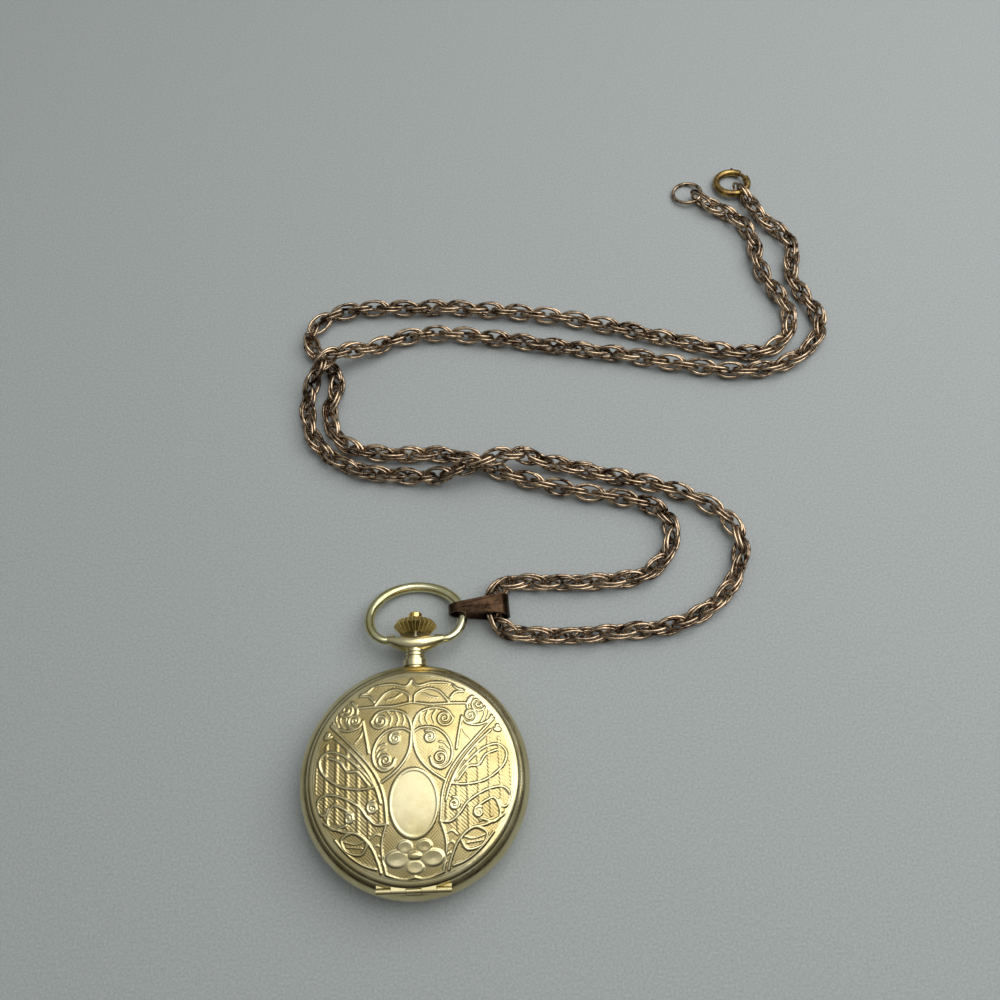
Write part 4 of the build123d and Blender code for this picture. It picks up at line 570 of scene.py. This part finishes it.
relief = {
    "scrollHalf": 0.33, "scrollHeight": 0.22, "ribHalf": 0.2, "ribHeight": 0.12,
    "barHalf": 0.42, "barHeight": 0.12, "barPitch": 2.2,
    "hatch": 0.55, "hatchHeight": 0.028,
    "stippleStretch": 1.1, "stippleWander": (2.1, 1.7), "stippleHeight": 0.028,
    "fade": (19.9, 20.45),           # the stamping ends between these radii
    "groundFade": 0.1,               # lines this high carry no ground
    "sunkTintFade": 0.12,               # and the darker tint stays below this height
    "lineStep": 0.12, "spiralStep": 4, "spiralEase": 0.8, "roundness": 0.7,
}
tiny = 1e-12


def splinePoints(knots):  # a smooth line through the knots, sampled closely
    knots = [np.array(k, float) for k in knots]
    closed = np.allclose(knots[0], knots[-1])
    before = knots[-2] if closed else 2 * knots[0] - knots[1]
    after = knots[1] if closed else 2 * knots[-1] - knots[-2]
    padded = [before] + knots + [after]
    points = []
    for a, b, c, d in zip(padded, padded[1:], padded[2:], padded[3:]):
        count = max(2, int(np.linalg.norm(c - b) / relief["lineStep"]))
        for t in np.linspace(0, 1, count, endpoint=False):
            points.append(0.5 * (2 * b + (c - a) * t + (2 * a - 5 * b + 4 * c - d) * t ** 2
                                 + (3 * b - a - 3 * c + d) * t ** 3))
    return points + [knots[-1]]


def spiralPoints(x, y, outer, inner, firstAngle, turns):
    count = int(abs(turns) * 360 / relief["spiralStep"])
    points = []
    for number in range(count + 1):
        share = number / count
        radius = outer + (inner - outer) * share ** relief["spiralEase"]
        angle = math.radians(firstAngle + 360 * turns * share)
        points.append(np.array([x + radius * math.cos(angle), y + radius * math.sin(angle)]))
    return points


def nearTree(lines):
    points = [p for line in lines for p in line]
    both = points + [np.array([-p[0], p[1]]) for p in points]
    tree = KDTree(len(both))
    for number, point in enumerate(both):
        tree.insert((point[0], point[1], 0), number)
    tree.balance()
    return tree


def insideOf(polygon, x, y):
    inside = np.zeros(len(x), bool)
    for (x1, y1), (x2, y2) in zip(polygon, polygon[1:] + polygon[:1]):
        crosses = (y1 > y) != (y2 > y)
        inside ^= crosses & (x < (x2 - x1) * (y - y1) / (y2 - y1 + tiny) + x1)
    return inside


def ridge(distance, half):  # round-topped: 1 on the line, 0 at half and beyond
    return np.clip(1 - (distance / half) ** 2, 0, 1) ** relief["roundness"]


def smoothStep(value, low, high):
    t = np.clip((value - low) / (high - low), 0, 1)
    return t * t * (3 - 2 * t)


def reliefHeight(x, y):  # mm of stamping over the plain dome, and how deep each point lies
    turn = math.radians(lid["turn"])
    u = (x * math.cos(turn) + y * math.sin(turn)) / lid["reach"]
    v = (-x * math.sin(turn) + y * math.cos(turn)) / lid["reach"]
    scrollTree = nearTree([splinePoints(k) for k in scrolls] + [spiralPoints(*s) for s in spirals])
    ribTree = nearTree([splinePoints(k) for k in ribs])
    toScroll = np.array([scrollTree.find((a, b, 0))[2] for a, b in zip(u, v)])
    toRib = np.array([ribTree.find((a, b, 0))[2] for a, b in zip(u, v)])
    high = relief["scrollHeight"] * ridge(toScroll, relief["scrollHalf"])
    high = np.maximum(high, relief["ribHeight"] * ridge(toRib, relief["ribHalf"]))
    inBars = insideOf(barField, np.abs(u), v)
    fromBar = np.abs((np.abs(u) + relief["barPitch"] / 2) % relief["barPitch"] - relief["barPitch"] / 2)
    bars = relief["barHeight"] * ridge(fromBar, relief["barHalf"]) * inBars
    hatch = relief["hatchHeight"] * np.sin(2 * math.pi * (u + v) / (relief["hatch"] * math.sqrt(2)))
    k = 2 * math.pi / (relief["hatch"] * relief["stippleStretch"])
    wanderV, wanderU = relief["stippleWander"]
    alongU = np.sin(u * k + np.sin(v * wanderV))
    alongV = np.sin(v * k + np.sin(u * wanderU))
    stipple = relief["stippleHeight"] * alongU * alongV
    ground = np.where(inBars, hatch, stipple)
    cx, cy = cartouche["centre"]
    oval = np.hypot((u - cx) / cartouche["half"][0], (v - cy) / cartouche["half"][1])
    toOval = (oval - 1) * (cartouche["half"][0] + cartouche["half"][1]) / 2
    plate = smoothStep(-toOval, 0, cartouche["slope"])
    petal = np.zeros(len(x))
    bloom = np.full(len(x), np.inf)
    fromCentre = np.hypot(u - flower["centre"][0], v - flower["centre"][1])
    innerLow, innerAdded = flower["innerHeight"]
    cupLow, cupAdded = flower["cup"]
    for px, py, halfX, halfY in flower["petals"]:
        across = np.abs(u - flower["centre"][0]) - px
        out = np.hypot(across / halfX, (v - flower["centre"][1] - py) / halfY)
        outward = innerLow + innerAdded * smoothStep(fromCentre, *flower["innerReach"])
        cup = smoothStep(1 - out, 0, flower["slope"]) * outward * (cupLow + cupAdded * out)
        petal = np.maximum(petal, cup)
        bloom = np.minimum(bloom, out)
    heart = ridge(np.hypot(
        (u - flower["centre"][0]) / flower["heart"][0], (v - flower["centre"][1]) / flower["heart"][1]), 1.0)
    quietEdge, quietFade = flower["quiet"]
    quiet = np.maximum(plate, smoothStep(quietEdge - bloom, 0, quietFade))
    radius = np.hypot(x, y)
    inside = 1 - smoothStep(radius, *relief["fade"])
    field = (bars + ground) * (1 - quiet)
    high = np.maximum(high * (1 - quiet), flower["height"] * petal)
    high = np.maximum(high, flower["heartHeight"] * heart)
    high = np.maximum(high, cartouche["height"] * plate)
    high = np.maximum(high, relief["scrollHeight"] * ridge(toOval - cartouche["rimOut"], cartouche["rim"]))
    total = (high + field * (1 - np.clip(high / relief["groundFade"], 0, 1))) * inside
    # how much the sunk ground is tinted darker: full between the lines, none on the raised lines
    sunk = np.clip(1 - high / relief["sunkTintFade"], 0, 1) * (1 - quiet) * inside
    return total, sunk


def domeHeight(radius):
    rise = lid["topHeight"] - lid["edgeHeight"]
    ball = (lid["edgeRadius"] ** 2 + rise ** 2) / (2 * rise)
    return lid["topHeight"] - ball + np.sqrt(ball ** 2 - np.minimum(radius, lid["edgeRadius"]) ** 2)


def makeEngravedDome():
    bm = bmesh.new()
    sunkTintLayer = bm.verts.layers.float.new("sunkTint")
    bmesh.ops.create_grid(bm, x_segments=lid["grid"], y_segments=lid["grid"], size=1.0)
    verts = list(bm.verts)
    plateRadius = lid["edgeRadius"] - lid["edgeGap"]
    square = np.array([v.co for v in verts], float)
    x = square[:, 0] * np.sqrt(1 - square[:, 1] ** 2 / 2) * plateRadius
    y = square[:, 1] * np.sqrt(1 - square[:, 0] ** 2 / 2) * plateRadius
    total, sunk = reliefHeight(x, y)
    z = domeHeight(np.hypot(x, y)) + lid["lift"] + np.maximum(total, -lid["lift"] * lid["deepest"])
    for vert, px, py, pz, deep in zip(verts, x, y, z, sunk):
        vert.co = (px * mm, py * mm, pz * mm)
        vert[sunkTintLayer] = lid["sunkTintShare"] * deep
    edge = [e for e in bm.edges if e.is_boundary]
    shares = [1.0] + [1 - (number + 1) / (lid["underRings"] + 1) for number in range(lid["underRings"])]
    for share in shares:  # close it underneath with a few rings that follow the dome
        fresh = bmesh.ops.extrude_edge_only(bm, edges=edge)["geom"]
        edge = [g for g in fresh if isinstance(g, bmesh.types.BMEdge) and g.is_boundary]
        ring = {v for e in edge for v in e.verts}
        for vert in ring:
            flat = math.hypot(vert.co.x, vert.co.y)
            radius = share * plateRadius
            vert.co.x *= radius * mm / flat
            vert.co.y *= radius * mm / flat
            vert.co.z = (float(domeHeight(np.array(radius))) - lid["under"]) * mm
    bmesh.ops.contextual_create(bm, geom=edge)
    bmesh.ops.recalc_face_normals(bm, faces=bm.faces)
    return finishMesh("engravedDome", bm, materials["stampedGold"])


dome = makeEngravedDome()
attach(dome, "lid")
print("engraved dome,", len(dome.data.polygons), "faces")

# Dial print: numbers, minute track and seconds ring, a hair above the enamel
dialPrint = {
    "height": 7.71, "numberRadius": 15.2, "numberSize": 3.4, "trackRadius": 18.0, "minuteLength": 0.7,
    "hourLength": 1.1, "lineHalf": 0.05, "thickness": 0.02,
    "secondsCentre": (0.0, -8.8), "secondsRadius": 4.6, "secondsNumberSize": 1.0,
    "secondsNumberShare": 0.72,      # of the ring's radius, where its numbers stand
    "secondsLengthShare": 0.5, "secondsWidthShare": 0.7, "circleSides": 96,
}


def addText(bm, text, size, x, y):
    font = bpy.data.curves.new("number", "FONT")
    font.body = text
    font.size = size * mm
    font.align_x = "CENTER"
    font.align_y = "CENTER"
    font.extrude = dialPrint["thickness"] / 2 * mm
    holder = bpy.data.objects.new("number", font)
    bpy.context.scene.collection.objects.link(holder)
    bpy.context.view_layer.update()
    mesh = bpy.data.meshes.new_from_object(holder)
    mesh.transform(Matrix.Translation((x * mm, y * mm, dialPrint["height"] * mm)))
    bm.from_mesh(mesh)
    bpy.data.objects.remove(holder)
    bpy.data.meshes.remove(mesh)


def addMark(bm, centre, radius, length, half, degrees):
    made = bmesh.ops.create_cube(bm, size=1.0)["verts"]
    bmesh.ops.scale(bm, verts=made, vec=(length * mm, 2 * half * mm, dialPrint["thickness"] * mm))
    bmesh.ops.translate(bm, verts=made, vec=((radius - length / 2) * mm, 0, 0))
    bmesh.ops.rotate(bm, verts=made, cent=(0, 0, 0), matrix=Matrix.Rotation(math.radians(degrees), 3, "Z"))
    bmesh.ops.translate(bm, verts=made, vec=(centre[0] * mm, centre[1] * mm, dialPrint["height"] * mm))


def addCircle(bm, centre, radius, half):
    outer = bmesh.ops.create_circle(bm, segments=dialPrint["circleSides"], radius=(radius + half) * mm)["verts"]
    edges = list({e for v in outer for e in v.link_edges})
    inner = bmesh.ops.extrude_edge_only(bm, edges=edges)["geom"]
    innerVerts = [g for g in inner if isinstance(g, bmesh.types.BMVert)]
    share = (radius - half) / (radius + half)
    bmesh.ops.scale(bm, verts=innerVerts, vec=(share, share, 1))
    faces = [g for g in inner if isinstance(g, bmesh.types.BMFace)]
    grown = bmesh.ops.extrude_face_region(bm, geom=faces)["geom"]
    top = [g for g in grown if isinstance(g, bmesh.types.BMVert)]
    bmesh.ops.translate(bm, verts=top, vec=(0, 0, dialPrint["thickness"] * mm))
    every = outer + innerVerts + top
    low = dialPrint["height"] - dialPrint["thickness"] / 2
    bmesh.ops.translate(bm, verts=every, vec=(centre[0] * mm, centre[1] * mm, low * mm))


def makeDialPrint():
    bm = bmesh.new()
    for hour in range(1, 13):
        if hour == 6:  # the seconds ring is here
            continue
        angle = math.radians(90 - 30 * hour)
        addText(bm, str(hour), dialPrint["numberSize"],
                dialPrint["numberRadius"] * math.cos(angle), dialPrint["numberRadius"] * math.sin(angle))
    for minute in range(60):
        length = dialPrint["hourLength"] if minute % 5 == 0 else dialPrint["minuteLength"]
        addMark(bm, (0, 0), dialPrint["trackRadius"], length, dialPrint["lineHalf"], 6 * minute)
        addMark(bm, dialPrint["secondsCentre"], dialPrint["secondsRadius"],
                length * dialPrint["secondsLengthShare"],
                dialPrint["lineHalf"] * dialPrint["secondsWidthShare"], 6 * minute)
    addCircle(bm, (0, 0), dialPrint["trackRadius"], dialPrint["lineHalf"])
    addCircle(bm, dialPrint["secondsCentre"], dialPrint["secondsRadius"], dialPrint["lineHalf"])
    for second in (15, 30, 45, 60):
        angle = math.radians(90 - 6 * second)
        reach = dialPrint["secondsRadius"] * dialPrint["secondsNumberShare"]
        addText(bm, str(second), dialPrint["secondsNumberSize"],
                dialPrint["secondsCentre"][0] + reach * math.cos(angle),
                dialPrint["secondsCentre"][1] + reach * math.sin(angle))
    bmesh.ops.recalc_face_normals(bm, faces=bm.faces)
    return finishMesh("dialPrint", bm, materials["blackDialInk"], smooth=False)


dialInk = makeDialPrint()
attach(dialInk, "case")
print("dial print made")

# Table, lights and world, in m: a soft key light from beyond on the right and a weak one overhead
stage = {
    "floor": "#AFB4B3", "floorDark": "#9BA09F", "size": 3.0, "speckMm": 0.5, "speckDetail": 4.0,
    "speckEdges": (0.3, 0.7), "floorRough": 0.75,
    "keyPlace": (0.3, 0.18, 0.48), "keySize": 0.6, "keyPower": 2.5,
    "fillPlace": (-0.02, 0.12, 0.6), "fillSize": 0.36, "fillPower": 0.42,
    "aim": (0.02, 0.06, 0.0),
    "sky": [(0.05, "#332E28"), (0.4, "#8D8C88"), (0.8, "#E6EAEA")],
    "skyLean": 0.25,      # how much darker it is towards the viewer
    "skyStrength": 0.5,
}


def makeFloor():
    bm = bmesh.new()
    bmesh.ops.create_grid(bm, x_segments=1, y_segments=1, size=stage["size"] / 2)
    material, tree, shader = newMaterial("paleGreyBoard")
    place = addNode(tree, "ShaderNodeTexCoord").outputs["Object"]
    specks = addNode(tree, "ShaderNodeTexNoise", {
        "Vector": place, "Scale": 1 / (stage["speckMm"] * mm), "Detail": stage["speckDetail"]})
    ramp = addNode(tree, "ShaderNodeValToRGB", {"Fac": specks.outputs["Fac"]})
    low, high = stage["speckEdges"]
    setRamp(ramp, [(low, toLinear(stage["floorDark"])), (high, toLinear(stage["floor"]))])
    tree.links.new(ramp.outputs[0], shader.inputs["Base Color"])
    shader.inputs["Roughness"].default_value = stage["floorRough"]
    floor = finishMesh("floor", bm, material, smooth=False)


def addLight(name, place, size, power, target):
    data = bpy.data.lights.new(name, "AREA")
    data.shape = "SQUARE"
    data.size = size
    data.energy = power
    light = bpy.data.objects.new(name, data)
    light.location = place
    light.rotation_euler = (Vector(target) - Vector(place)).to_track_quat("-Z", "Y").to_euler()
    bpy.context.scene.collection.objects.link(light)


def makeWorld():
    world = bpy.data.worlds.new("studio")
    world.use_nodes = True
    tree = world.node_tree
    tree.nodes.clear()
    output = addNode(tree, "ShaderNodeOutputWorld")
    place = addNode(tree, "ShaderNodeTexCoord").outputs["Generated"]
    parts = addNode(tree, "ShaderNodeSeparateXYZ", {0: place})
    height = addNode(tree, "ShaderNodeMath", {
        0: parts.outputs["Y"], 1: stage["skyLean"], 2: parts.outputs["Z"]}, operation="MULTIPLY_ADD")
    ramp = addNode(tree, "ShaderNodeValToRGB", {"Fac": height.outputs[0]})
    setRamp(ramp, [(stop, toLinear(colour)) for stop, colour in stage["sky"]])
    light = addNode(tree, "ShaderNodeBackground", {"Color": ramp.outputs[0], "Strength": stage["skyStrength"]})
    tree.links.new(light.outputs[0], output.inputs[0])
    bpy.context.scene.world = world


makeFloor()
addLight("key", stage["keyPlace"], stage["keySize"], stage["keyPower"], stage["aim"])
addLight("fill", stage["fillPlace"], stage["fillSize"], stage["fillPower"], stage["aim"])
makeWorld()
bpy.context.scene.view_settings.view_transform = "Standard"
print("stage and light")
